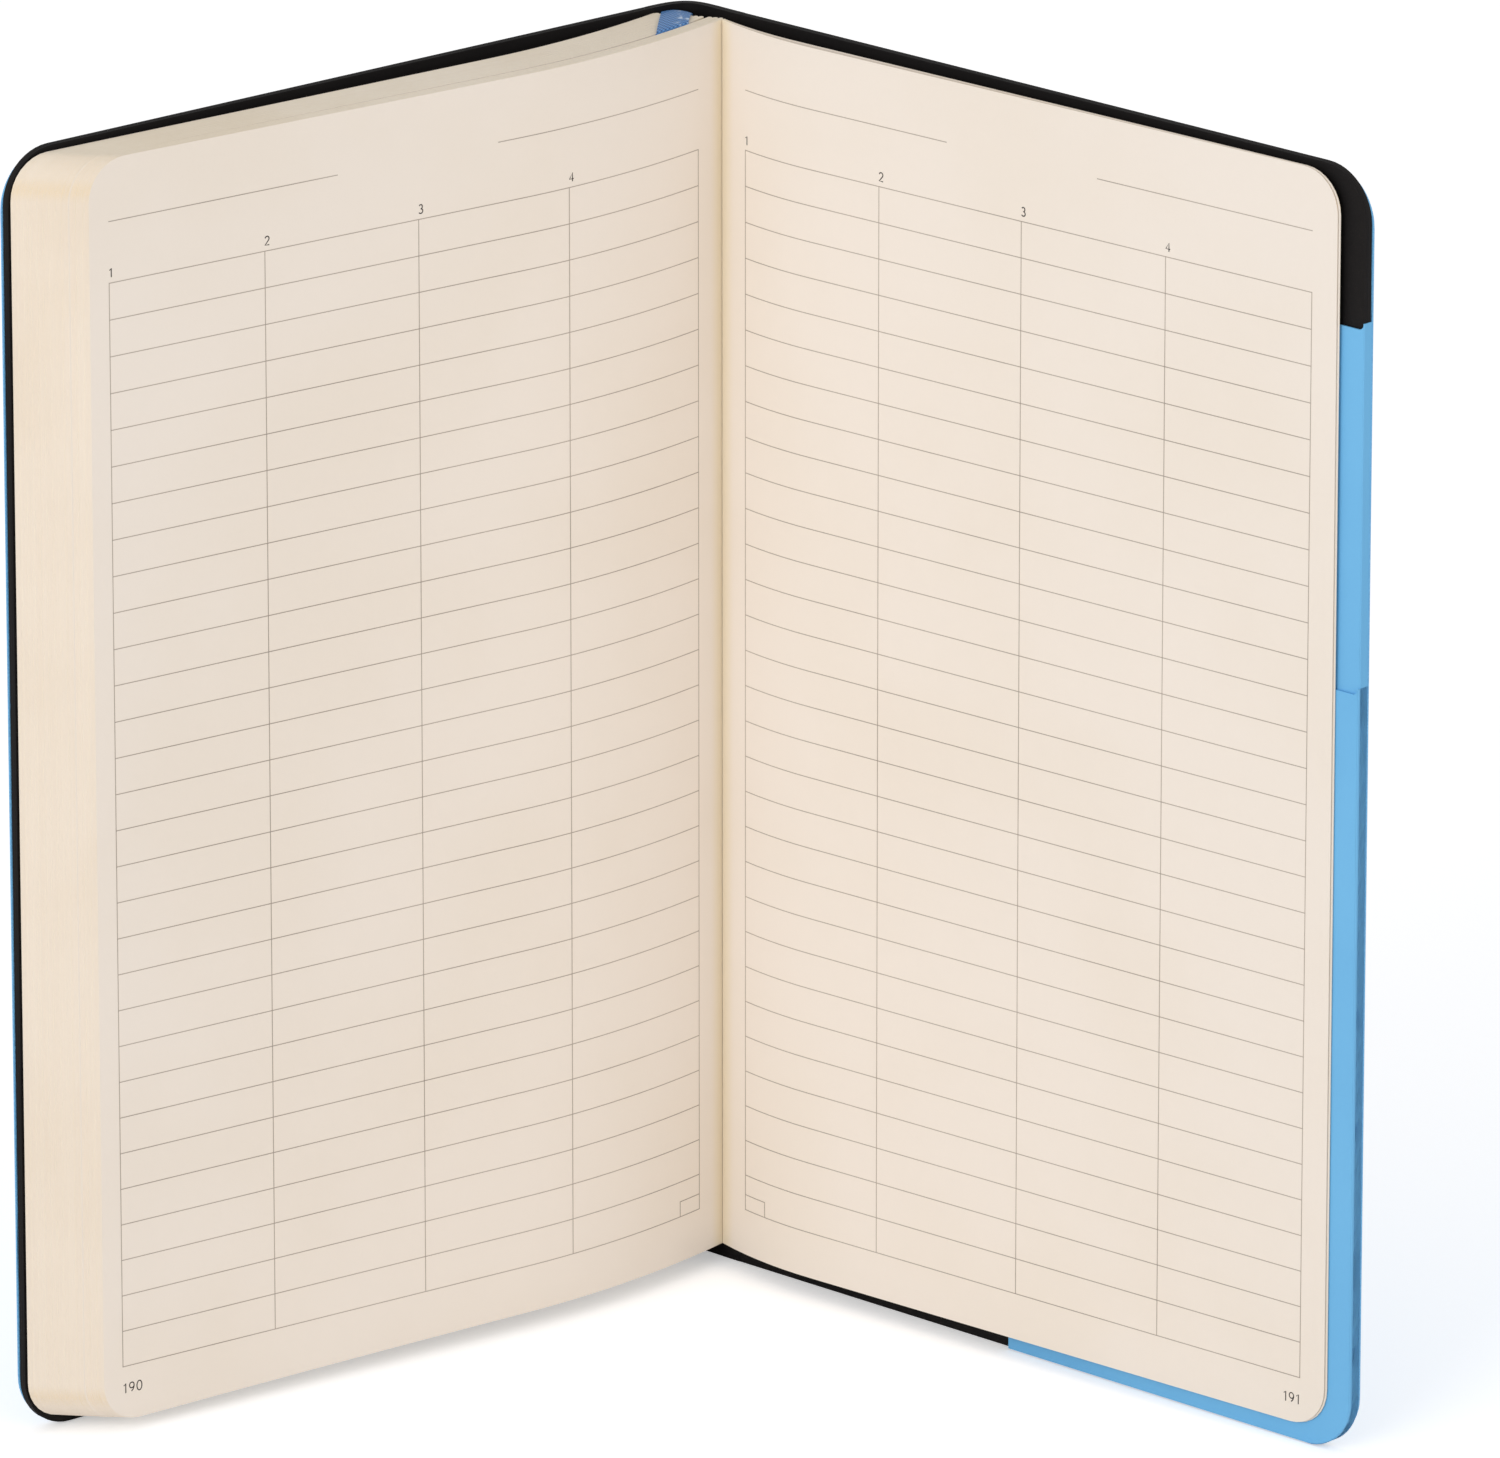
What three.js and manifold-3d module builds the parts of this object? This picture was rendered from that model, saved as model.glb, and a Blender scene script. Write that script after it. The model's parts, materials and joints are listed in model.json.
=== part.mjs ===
// Lined notebook standing open in a V on its tail edges.
// Millimetres, +Z up. The spine is at the back, the reader looks along +Y, X runs to the right.
// Every sheet is a plan outline raised along Z, because an open book bends only about upright lines.
import * as THREE from 'three';
import Module from 'manifold-3d';
import { mergeVertices } from 'three/addons/utils/BufferGeometryUtils.js';

const wasm = await Module();
wasm.setup();

// Driving dimensions: case
const tailSquare = 3.2;
const headSquare = 0.4;
const coverWidth = 130;
const coverCornerRadius = 9;
const skinThickness = 0.45;
const boardThickness = 0.6;
const linerThickness = 0.4;
const skinOverhang = 0.5;
const glueLine = 0.1;
const jointSetback = 1.2;
const spineFullness = 8;

// Driving dimensions: leaves and sections
const leafHeight = 208;
const leafWidth = 127.3;
const leafCornerRadius = 8;
const leafThickness = 0.086;
const leavesPerSection = 8;
const sectionCount = 12;
const sectionPlay = 0.05;
const foreEdgePlay = 0.035;
const endLeafThickness = 0.12;

// Driving dimensions: how the book stands open
const frontAngle = THREE.MathUtils.degToRad(39.3);
const backAngle = THREE.MathUtils.degToRad(42);
const blockSpineTilt = THREE.MathUtils.degToRad(14.7);
const frontBulge = 6;
const frontBendRadius = 250;
const backBulge = 3.4;
const backBendRadius = 70;
const flyleafGap = 0.16;
const frontJointLead = 0.7;
const lastFoldPitch = 2.1;
const backJointGap = 0.6;
const backJointLead = 0.7;

// Driving dimensions: pocket on the inside of the back cover
const pocketWidth = 71;
const pocketInset = 0.8;
const pocketRearHeight = 187;
const pocketFrontHeight = 127;
const pocketPanelThickness = 0.3;
const pocketCornerRadius = 11;
const pocketMouthRadius = 3;

// Driving dimensions: sewing, gauze and ribbon
const threadDiameter = 0.4;
const threadStations = 5;
const threadEndInset = 16;
const gauzeThickness = 0.3;
const gauzeEndInset = 9;
const fitGap = 0.15;
const ribbonWidth = 8;
const ribbonThickness = 0.25;
const ribbonSlotPlay = 0.08;
const ribbonRise = 0.5;
const ribbonTabLength = 34;
const ribbonFootInset = 24;
const ribbonFoldInset = 2.7;
const sectionCountBeforeRibbon = 9;

// Steps of round forms
const cornerSegments = 10;
const foldSteps = 5;
const spineSteps = 14;
const threadSides = 10;

// Sizes that follow from them
const coverThickness = skinThickness + boardThickness + linerThickness + 2 * glueLine;
const coverHeight = tailSquare + leafHeight + headSquare;
const sectionThickness = leavesPerSection * leafThickness;
const ribbonSlot = ribbonThickness + 2 * ribbonSlotPlay;
const foldPitch = (sectionThickness + sectionPlay) / Math.sin(frontAngle + blockSpineTilt);
const ribbonPitch = ribbonSlot / Math.sin(frontAngle + blockSpineTilt);
const fanTaper = frontBulge + (sectionCount - 1) * (sectionPlay - foreEdgePlay);
const frontFanAngle = Math.asin(fanTaper / leafWidth);
const pocketStack = 2 * (glueLine + pocketPanelThickness);
const backForeGap = pocketStack + 2 * flyleafGap + 1.5 * endLeafThickness;
const backFanAngle = Math.asin((backJointGap + backBulge - backForeGap) / leafWidth);

const paper = new THREE.MeshStandardMaterial({ color: 0xe8dfd0, roughness: 0.9, metalness: 0 });
const blueSkin = new THREE.MeshStandardMaterial({ color: 0x4f9bd6, roughness: 0.55, metalness: 0 });
const blackBoard = new THREE.MeshStandardMaterial({ color: 0x1c1a1b, roughness: 0.85, metalness: 0 });
const blackLiner = new THREE.MeshStandardMaterial({ color: 0x1e1b1c, roughness: 0.6, metalness: 0 });
const bluePocket = new THREE.MeshStandardMaterial({ color: 0x7fb9e8, roughness: 0.7, metalness: 0 });
const blueRibbon = new THREE.MeshStandardMaterial({ color: 0x467db9, roughness: 0.5, metalness: 0 });
const linen = new THREE.MeshStandardMaterial({ color: 0xe6e2d8, roughness: 0.95, metalness: 0 });

const notebook = new THREE.Group();

// Unit vector in plan
function heading(angle) {
  return new THREE.Vector2(Math.cos(angle), Math.sin(angle));
}

function along(point, direction, distance) {
  return point.clone().addScaledVector(direction, distance);
}

// A closed geometry as a solid for boolean work
function toSolid(geometry) {
  const bare = geometry.clone();
  bare.deleteAttribute('normal');
  bare.deleteAttribute('uv');
  const merged = mergeVertices(bare, 1e-4);
  return new wasm.Manifold(new wasm.Mesh({
    numProp: 3,
    vertProperties: new Float32Array(merged.attributes.position.array),
    triVerts: new Uint32Array(merged.index.array),
  }));
}

function toGeometry(solid) {
  const mesh = solid.getMesh();
  const geometry = new THREE.BufferGeometry();
  geometry.setAttribute('position', new THREE.BufferAttribute(mesh.vertProperties, 3));
  geometry.setIndex(new THREE.BufferAttribute(mesh.triVerts, 1));
  geometry.computeVertexNormals();
  return geometry;
}

function addPiece(parent, name, geometry, material) {
  const mesh = new THREE.Mesh(geometry, material);
  mesh.name = name;
  parent.add(mesh);
  return mesh;
}

// The way that a leaf takes in plan from its fold: an arc that flattens out, then straight along +X.
// Distances along it start at the fold, and side is 1 or -1 for the side that it bulges to.
function leafWay(bulge, bendRadius, side) {
  const turn = Math.acos(1 - bulge / bendRadius);
  const arcLength = bendRadius * turn;
  return {
    arcLength,
    at(distance) {
      const left = Math.max(turn - distance / bendRadius, 0);
      const straight = Math.max(distance - arcLength, 0);
      const x = bendRadius * (Math.sin(turn) - Math.sin(left)) + straight;
      const y = bendRadius * (Math.cos(left) - Math.cos(turn));
      const normal = new THREE.Vector2(-side * Math.sin(left), Math.cos(left));
      return { point: new THREE.Vector2(x, side * y), normal };
    },
  };
}

// Distances from the fold at which the outline of a leaf needs a point: its bend, then its edge
function leafStations(way) {
  const bendSteps = 8;
  const stations = [0];
  for (let step = 1; step <= bendSteps; step += 1) {
    const distance = (way.arcLength * step) / bendSteps;
    if (distance > 0 && distance < leafWidth) stations.push(distance);
  }
  stations.push(leafWidth);
  return stations;
}

// One side of a sheaf in plan, at an offset to the left of its way
function sideOutline(way, offset) {
  return leafStations(way).map((distance) => {
    const { point, normal } = way.at(distance);
    return along(point, normal, offset);
  });
}

// Half circle round a fold, from its high side to its low side
function foldRound(way, thickness) {
  const { point, normal } = way.at(0);
  const round = [];
  for (let step = 1; step < foldSteps; step += 1) {
    const turned = normal.clone().rotateAround(new THREE.Vector2(), (Math.PI * step) / foldSteps);
    round.push(along(point, turned, thickness / 2));
  }
  return round;
}

// Upright plate whose two fore-edge corners are round, in X and Z, from low to high in Y
function roundedPlate(left, right, bottom, top, radius, low, high) {
  const outline = new THREE.Shape();
  outline.moveTo(left, bottom);
  outline.lineTo(right - radius, bottom);
  outline.absarc(right - radius, bottom + radius, radius, -Math.PI / 2, 0, false);
  outline.lineTo(right, top - radius);
  outline.absarc(right - radius, top - radius, radius, 0, Math.PI / 2, false);
  outline.lineTo(left, top);
  outline.closePath();
  const plate = new THREE.ExtrudeGeometry(outline, {
    depth: high - low, bevelEnabled: false, curveSegments: cornerSegments,
  });
  plate.rotateX(Math.PI / 2);
  plate.translate(0, high, 0);
  return plate;
}

// Sheaf of leaves: its plan outline raised to the leaf height, with round fore-edge corners
function sheafGeometry(way, thickness, middle = 0) {
  const lowSide = sideOutline(way, middle - thickness / 2);
  const highSide = sideOutline(way, middle + thickness / 2).reverse();
  const fold = middle === 0 ? foldRound(way, thickness) : [];
  const outline = new THREE.Shape([...lowSide, ...highSide, ...fold]);
  const slab = new THREE.ExtrudeGeometry(outline, { depth: leafHeight, bevelEnabled: false });
  slab.translate(0, 0, tailSquare);
  const foreEdge = way.at(leafWidth).point.x;
  const reach = leafWidth / 4;
  const corners = roundedPlate(
    -reach, foreEdge, tailSquare, tailSquare + leafHeight, leafCornerRadius, -reach, reach,
  );
  return toGeometry(toSolid(slab).intersect(toSolid(corners)));
}

// Folds in plan, from the first section to the last leaf. The last section's fold is the origin.
const spineLine = heading(Math.PI - blockSpineTilt);
const sectionFolds = [];
for (let index = 0; index < sectionCount; index += 1) {
  const fromLast = sectionCount - 1 - index;
  const slot = index < sectionCountBeforeRibbon ? ribbonPitch : 0;
  sectionFolds.push(along(new THREE.Vector2(), spineLine, fromLast * foldPitch + slot));
}
const endFold = along(new THREE.Vector2(), spineLine, -lastFoldPitch);

// Directions of the two sides in plan, and the side that faces away from the reader
const frontRun = heading(Math.PI + frontAngle);
const frontOut = heading(Math.PI / 2 + frontAngle);
const backRun = heading(-backAngle);
const backOut = heading(Math.PI / 2 - backAngle);

// Joint axes of the covers, in the middle of their thickness
const frontFlyleafOffset = sectionThickness / 2 + flyleafGap + endLeafThickness / 2;
const frontJointOffset = frontFlyleafOffset + endLeafThickness / 2 + flyleafGap + coverThickness / 2;
const frontJoint = along(
  along(sectionFolds[0], frontOut, frontJointOffset), frontRun, frontJointLead,
);
const backJoint = along(
  along(endFold, backOut, backJointGap + coverThickness / 2), backRun, backJointLead,
);

// Case: the layers lie from the outside in, and the skin stands out past the others at the fore-edge
const layers = [
  { name: 'skin', thickness: skinThickness, inset: 0, material: blueSkin },
  { name: 'board', thickness: boardThickness, inset: skinOverhang, material: blackBoard },
  { name: 'liner', thickness: linerThickness, inset: skinOverhang, material: blackLiner },
];

// Offsets of each layer from the middle of the case, outside positive
function layerOffsets() {
  const offsets = [];
  let outer = coverThickness / 2;
  for (const layer of layers) {
    offsets.push({ ...layer, high: outer, low: outer - layer.thickness });
    outer -= layer.thickness + glueLine;
  }
  return offsets;
}

function addCover(side, joint, angle, outward) {
  const cover = new THREE.Group();
  cover.position.set(joint.x, joint.y, 0);
  cover.rotation.z = angle;
  for (const layer of layerOffsets()) {
    const faces = [outward * layer.low, outward * layer.high].sort((a, b) => a - b);
    const right = coverWidth - layer.inset;
    const radius = coverCornerRadius - layer.inset;
    const plate = roundedPlate(
      jointSetback, right, 0, coverHeight, radius, faces[0], faces[1],
    );
    addPiece(cover, `${side}_cover_${layer.name}`, plate, layer.material);
  }
  notebook.add(cover);
  return cover;
}

addCover('front', frontJoint, Math.PI + frontAngle, -1);
const backCover = addCover('back', backJoint, -backAngle, 1);

// Spine of the case: one curve from joint to joint, which arches away from the block
function spineCurve() {
  const start = along(frontJoint, frontRun, -jointSetback);
  const end = along(backJoint, backRun, -jointSetback);
  return new THREE.CubicBezierCurve(
    start, along(start, frontRun, -spineFullness), along(end, backRun, -spineFullness), end,
  );
}

function spineLayerGeometry(low, high) {
  const curve = spineCurve();
  const lowSide = [];
  const highSide = [];
  for (let step = 0; step <= spineSteps; step += 1) {
    const point = curve.getPoint(step / spineSteps);
    const tangent = curve.getTangent(step / spineSteps);
    const outward = new THREE.Vector2(-tangent.y, tangent.x);
    lowSide.push(along(point, outward, low));
    highSide.unshift(along(point, outward, high));
  }
  const outline = new THREE.Shape([...lowSide, ...highSide]);
  return new THREE.ExtrudeGeometry(outline, { depth: coverHeight, bevelEnabled: false });
}

for (const layer of layerOffsets()) {
  const name = layer.name === 'board' ? 'spine_strip' : `spine_${layer.name}`;
  addPiece(notebook, name, spineLayerGeometry(layer.low, layer.high), layer.material);
}

// Pocket panels, glued to the liner of the back cover at the tail, the fore-edge and the spine side
function addPocketPanel(name, layer, height) {
  const inner = -coverThickness / 2 - glueLine - layer * (pocketPanelThickness + glueLine);
  const left = coverWidth - pocketWidth;
  const right = coverWidth - pocketInset;
  const body = roundedPlate(
    left, right, pocketInset, height, pocketCornerRadius, inner - pocketPanelThickness, inner,
  );
  const mouth = roundedPlate(
    left, right, -height, height, pocketMouthRadius, inner - pocketPanelThickness, inner,
  );
  const filler = new THREE.BoxGeometry(pocketCornerRadius, pocketPanelThickness, height / 2);
  filler.translate(right - pocketCornerRadius / 2, inner - pocketPanelThickness / 2, (height * 3) / 4);
  const panel = toSolid(body).add(toSolid(filler)).intersect(toSolid(mouth));
  addPiece(backCover, name, toGeometry(panel), bluePocket);
}

addPocketPanel('pocket_rear_panel', 0, pocketRearHeight);
addPocketPanel('pocket_front_panel', 1, pocketFrontHeight);

// Book block: each section turns in its own frame at its fold, with +X towards the fore-edge.
// The later a section, the more it bulges near its fold and the more it closes on the cover outside.
const sectionGroups = sectionFolds.map((fold, index) => {
  const share = index / Math.max(sectionCount - 1, 1);
  const group = new THREE.Group();
  group.position.set(fold.x, fold.y, 0);
  group.rotation.z = Math.PI + frontAngle - share * frontFanAngle;
  const way = leafWay(share * frontBulge, frontBendRadius, 1);
  const name = `section_${String(index + 1).padStart(2, '0')}`;
  addPiece(group, name, sheafGeometry(way, sectionThickness), paper);
  notebook.add(group);
  return { group, way };
});

const frontFlyleaf = sheafGeometry(leafWay(0, frontBendRadius, 1), endLeafThickness, -frontFlyleafOffset);
addPiece(sectionGroups[0].group, 'front_flyleaf', frontFlyleaf, paper);

// Last leaf and back flyleaf, over the back cover
const endLeaves = new THREE.Group();
endLeaves.position.set(endFold.x, endFold.y, 0);
endLeaves.rotation.z = -backAngle + backFanAngle;
const endWay = leafWay(backBulge, backBendRadius, -1);
const backFlyleafOffset = endLeafThickness + flyleafGap;
addPiece(endLeaves, 'last_leaf', sheafGeometry(endWay, endLeafThickness), paper);
addPiece(endLeaves, 'back_flyleaf', sheafGeometry(endWay, endLeafThickness, backFlyleafOffset), paper);
notebook.add(endLeaves);

// Behind the folds: threads, then gauze. Their frame has +X along the folds and +Y to the back.
const hollow = new THREE.Group();
hollow.rotation.z = -blockSpineTilt;
notebook.add(hollow);
const firstFoldX = -sectionFolds[0].length();
const threadOffset = sectionThickness / 2 + fitGap + threadDiameter / 2;
const gauzeOffset = threadOffset + threadDiameter / 2 + fitGap;

for (let station = 0; station < threadStations; station += 1) {
  const span = leafHeight - 2 * threadEndInset;
  const height = tailSquare + threadEndInset + (span * station) / (threadStations - 1);
  const length = -firstFoldX + sectionThickness / 2;
  const radius = threadDiameter / 2;
  const thread = new THREE.CylinderGeometry(radius, radius, length, threadSides);
  thread.rotateZ(Math.PI / 2);
  thread.translate(firstFoldX + length / 2, threadOffset, height);
  addPiece(hollow, `sewing_thread_${station + 1}`, thread, linen);
}

const gauzeLeft = firstFoldX + 2 * foldPitch;
const gauzeWidth = -gauzeLeft - foldPitch / 2;
const gauze = new THREE.BoxGeometry(gauzeWidth, gauzeThickness, leafHeight - 2 * gauzeEndInset);
gauze.translate(gauzeLeft + gauzeWidth / 2, gauzeOffset + gauzeThickness / 2, tailSquare + leafHeight / 2);
addPiece(hollow, 'spine_gauze', gauze, linen);

// Ribbon: frames along its route, each with its middle, its width direction and its face normal,
// joined into one flat closed band
function bandGeometry(frames) {
  const corners = [[-0.5, -0.5], [0.5, -0.5], [0.5, 0.5], [-0.5, 0.5]];
  const positions = [];
  for (const { middle, across, face } of frames) {
    for (const [wide, thick] of corners) {
      const corner = middle.clone();
      corner.addScaledVector(across, wide * ribbonWidth);
      corner.addScaledVector(face, thick * ribbonThickness);
      positions.push(corner.x, corner.y, corner.z);
    }
  }
  const index = [0, 2, 1, 0, 3, 2];
  for (let frame = 0; frame + 1 < frames.length; frame += 1) {
    for (let corner = 0; corner < 4; corner += 1) {
      const here = frame * 4 + corner;
      const beside = frame * 4 + ((corner + 1) % 4);
      index.push(here, beside, beside + 4, here, beside + 4, here + 4);
    }
  }
  const last = (frames.length - 1) * 4;
  index.push(last, last + 1, last + 2, last, last + 2, last + 3);
  const geometry = new THREE.BufferGeometry();
  geometry.setAttribute('position', new THREE.Float32BufferAttribute(positions, 3));
  geometry.setIndex(index);
  geometry.computeVertexNormals();
  return geometry;
}

// The free ribbon lies in the slot in front of its section and bends back over the head
const ribbonHost = sectionGroups[sectionCountBeforeRibbon];
const ribbonHead = tailSquare + leafHeight;
const slotOffset = -sectionThickness / 2 - ribbonSlotPlay - ribbonThickness / 2;

function ribbonFrames() {
  const centre = ribbonFoldInset + ribbonWidth / 2;
  const { point, normal } = ribbonHost.way.at(centre);
  const slot = along(point, normal, slotOffset);
  const across = new THREE.Vector3(normal.y, -normal.x, 0);
  const face = new THREE.Vector3(normal.x, normal.y, 0);
  const up = new THREE.Vector3(0, 0, 1);
  const frames = [];
  for (const height of [tailSquare + ribbonFootInset, ribbonHead + ribbonRise / 2]) {
    frames.push({ middle: new THREE.Vector3(slot.x, slot.y, height), across, face });
  }
  const bendRadius = ribbonRise;
  const bendSteps = 5;
  for (let step = 1; step <= bendSteps; step += 1) {
    const turned = (Math.PI / 2) * (step / bendSteps);
    const middle = new THREE.Vector3(slot.x, slot.y, ribbonHead + ribbonRise / 2);
    middle.addScaledVector(face, -bendRadius * (1 - Math.cos(turned)));
    middle.addScaledVector(up, bendRadius * Math.sin(turned));
    const turnedFace = face.clone().multiplyScalar(Math.cos(turned)).addScaledVector(up, Math.sin(turned));
    frames.push({ middle, across, face: turnedFace });
  }
  return frames;
}

addPiece(ribbonHost.group, 'bookmark_ribbon', bandGeometry(ribbonFrames()), blueRibbon);

// The ribbon's tab is glued to the gauze inside the hollow
const tab = new THREE.BoxGeometry(ribbonWidth, ribbonThickness, ribbonTabLength);
const tabX = firstFoldX / 2;
const tabY = gauzeOffset + gauzeThickness + fitGap + ribbonThickness / 2;
tab.translate(tabX, tabY, ribbonHead - ribbonTabLength / 2);
addPiece(hollow, 'ribbon_tab', tab, blueRibbon);

// The origin is the middle of the footprint, at the surface that the notebook stands on
notebook.updateMatrixWorld(true);
const bounds = new THREE.Box3().setFromObject(notebook, true);
const middle = bounds.getCenter(new THREE.Vector3());
notebook.position.set(-middle.x, -middle.y, -bounds.min.z);
notebook.updateMatrixWorld(true);

export default notebook;
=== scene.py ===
"""Looks of a lined notebook that stands open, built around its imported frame.

Sizes are in millimetres, in the frame's axes: +Z up along the spine, +X to the reader's right and
+Y away from the reader. Meshes are scaled to metres when they are made.
"""

import json
import logging
import math
from dataclasses import dataclass, field, replace
from enum import Enum

import bpy
import numpy as np
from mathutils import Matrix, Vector


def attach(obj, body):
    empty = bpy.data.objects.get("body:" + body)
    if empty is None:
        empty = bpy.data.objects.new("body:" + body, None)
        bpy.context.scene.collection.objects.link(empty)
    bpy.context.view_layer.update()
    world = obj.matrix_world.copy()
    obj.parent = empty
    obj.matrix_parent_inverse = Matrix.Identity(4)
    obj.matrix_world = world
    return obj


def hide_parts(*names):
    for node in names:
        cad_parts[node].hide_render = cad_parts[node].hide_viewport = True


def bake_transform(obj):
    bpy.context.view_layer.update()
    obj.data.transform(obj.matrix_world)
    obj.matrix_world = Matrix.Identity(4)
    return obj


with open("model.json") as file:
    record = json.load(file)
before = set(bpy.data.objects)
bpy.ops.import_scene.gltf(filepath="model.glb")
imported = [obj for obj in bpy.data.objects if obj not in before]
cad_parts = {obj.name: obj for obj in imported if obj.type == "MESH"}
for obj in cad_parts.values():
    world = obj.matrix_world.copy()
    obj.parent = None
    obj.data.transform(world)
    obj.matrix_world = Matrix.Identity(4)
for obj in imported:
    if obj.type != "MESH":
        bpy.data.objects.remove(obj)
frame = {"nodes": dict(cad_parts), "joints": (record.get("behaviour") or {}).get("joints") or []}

MM = 0.001
BEVEL_SEGMENTS = 2
BEVEL_FROM_DEGREES = 40
FRONT_ANGLE = 39.3
BACK_ANGLE = 42.0
log = logging.getLogger("notebook")


# Plan geometry


def heading(degrees: float) -> np.ndarray:
    """Unit vector in plan at an angle from +X."""
    return np.array([math.cos(math.radians(degrees)), math.sin(math.radians(degrees))])


def left_of(direction: np.ndarray) -> np.ndarray:
    """Directions turned a quarter turn to the left: (x, y) becomes (-y, x)."""
    return np.stack([-direction[..., 1], direction[..., 0]], axis=-1)


def section_name(index: int) -> str:
    """Name of a section's node and body, from 0, next to the front cover."""
    return f"section_{index + 1:02d}"


def joint_place(name: str) -> np.ndarray:
    """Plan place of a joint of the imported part, in millimetres."""
    found = next(joint for joint in frame["joints"] if joint["name"] == name)
    return np.array(found["pos_m"][:2]) / MM


@dataclass(frozen=True)
class PlanPath:
    """A way in plan that a sheet follows.

    points and normals are arrays of (x, y), and each normal points to the left of the way.
    reach is the distance of each point from the fold or joint that the sheet starts at.
    """

    points: np.ndarray
    normals: np.ndarray
    reach: np.ndarray

    def shifted(self, offset: float) -> "PlanPath":
        """The way moved to its left: each point plus offset times its normal."""
        return PlanPath(self.points + offset * self.normals, self.normals, self.reach)


def path_through(points: np.ndarray, reach: np.ndarray) -> PlanPath:
    """A way through points, with normals from central differences.

    Args:
        points: Plan points, one row each.
        reach: Distance of each point from the fold or joint.

    Returns:
        The way, whose normals are the differences of neighbouring points turned to the left.
    """
    tangents = np.gradient(points, axis=0)
    tangents /= np.linalg.norm(tangents, axis=1)[:, None]
    return PlanPath(points, left_of(tangents), reach)


@dataclass(frozen=True)
class LeafWay:
    """The way of a leaf from its fold: an arc that flattens out, then a straight run.

    bulge is how far the arc stands off the straight run, and side is 1 or -1 for the side that it
    bulges to, seen along the run.
    """

    fold: np.ndarray
    angle: float
    bulge: float
    bend_radius: float
    side: int

    def at(self, distance: np.ndarray, offset: float | np.ndarray) -> np.ndarray:
        """Plan points of the way.

        With R the bend radius and T = acos(1 - bulge / R), the heading left to turn at distance d
        is a = max(T - d / R, 0). The point is R (sin T - sin a) plus the straight part along the
        run, and R (cos a - cos T) to the side.

        Args:
            distance: Distances from the fold, along the way.
            offset: How far to the left of the way, for all points or for each.

        Returns:
            One row of (x, y) for each distance.
        """
        radius = self.bend_radius
        turn = math.acos(1 - self.bulge / radius)
        left = np.maximum(turn - distance / radius, 0)
        straight = np.maximum(distance - radius * turn, 0)
        along = radius * (math.sin(turn) - np.sin(left)) + straight
        across = radius * (np.cos(left) - math.cos(turn))
        local = np.stack([along, self.side * across], axis=-1)
        normal = np.stack([-self.side * np.sin(left), np.cos(left)], axis=-1)
        local = local + np.asarray(offset)[..., None] * normal
        run = heading(self.angle)
        return self.fold + local[..., :1] * run + local[..., 1:] * left_of(run)

    def path(self, reach: np.ndarray, offset: float | np.ndarray) -> PlanPath:
        """The way through its points at some distances and offsets."""
        return path_through(self.at(reach, offset), reach)


# Meshes


@dataclass
class Surface:
    """A closed surface in millimetres.

    faces are quads, rim says which of them are cut edges, and values are numbers at the points
    that a material reads, by attribute name.
    """

    points: np.ndarray
    faces: np.ndarray
    rim: np.ndarray
    values: dict[str, np.ndarray] = field(default_factory=dict)


def slab(points: np.ndarray, values: dict[str, np.ndarray]) -> Surface:
    """Closes two grids of points that lie face to face into a slab.

    Args:
        points: Two sides by stations by levels by (x, y, z). Seen with the stations running to the
            right and the levels up, the second side lies behind the first.
        values: Numbers at the points, in arrays that start with the same three axes.

    Returns:
        The slab, whose four rims join the borders of the two grids.
    """
    stations, levels = points.shape[1:3]
    near, far = np.arange(2 * stations * levels).reshape(2, stations, levels)

    def strip(*corners: np.ndarray) -> np.ndarray:
        """Quads from four index arrays, one for each corner."""
        return np.stack([corner.ravel() for corner in corners], axis=1)

    walls = [
        strip(far[:-1, :-1], far[:-1, 1:], far[1:, 1:], far[1:, :-1]),
        strip(near[:-1, :-1], near[1:, :-1], near[1:, 1:], near[:-1, 1:]),
    ]
    rims = [
        strip(near[0, :-1], near[0, 1:], far[0, 1:], far[0, :-1]),
        strip(near[-1, :-1], far[-1, :-1], far[-1, 1:], near[-1, 1:]),
        strip(near[:-1, 0], far[:-1, 0], far[1:, 0], near[1:, 0]),
        strip(near[:-1, -1], near[1:, -1], far[1:, -1], far[:-1, -1]),
    ]
    faces = np.concatenate(walls + rims)
    rim = np.zeros(len(faces), bool)
    rim[sum(len(wall) for wall in walls):] = True
    count = points[..., 0].size
    flat = {name: value.reshape(count, *value.shape[3:]) for name, value in values.items()}
    return Surface(points.reshape(count, 3), faces, rim, flat)


def raise_sheet(
    path: PlanPath, thickness: float, low: np.ndarray, high: np.ndarray, rows: int = 1
) -> Surface:
    """Raises a way in plan into an upright closed sheet.

    The surface has two parameters: the station along the way and the share v of the height. A
    point is the station's plan point plus or minus half the thickness along its normal, at the
    height low + (high - low) v.

    Args:
        path: The middle of the sheet in plan.
        thickness: Thickness of the sheet.
        low: Lowest height at each station.
        high: Highest height at each station.
        rows: Number of faces up the sheet.

    Returns:
        The surface, with page_place (reach, height, side) at each point.
    """
    share = np.linspace(0, 1, rows + 1)
    heights = low[:, None] + (high - low)[:, None] * share[None, :]
    sides = np.array([-1.0, 1.0])
    plan = path.points[None, :, :] + sides[:, None, None] * thickness / 2 * path.normals[None]
    points = np.empty((2, *heights.shape, 3))
    points[..., :2] = plan[:, :, None, :]
    points[..., 2] = heights[None]
    place = np.empty_like(points)
    place[..., 0] = path.reach[None, :, None]
    place[..., 1] = heights[None]
    place[..., 2] = sides[:, None, None]
    return slab(points, {"page_place": place})


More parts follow.
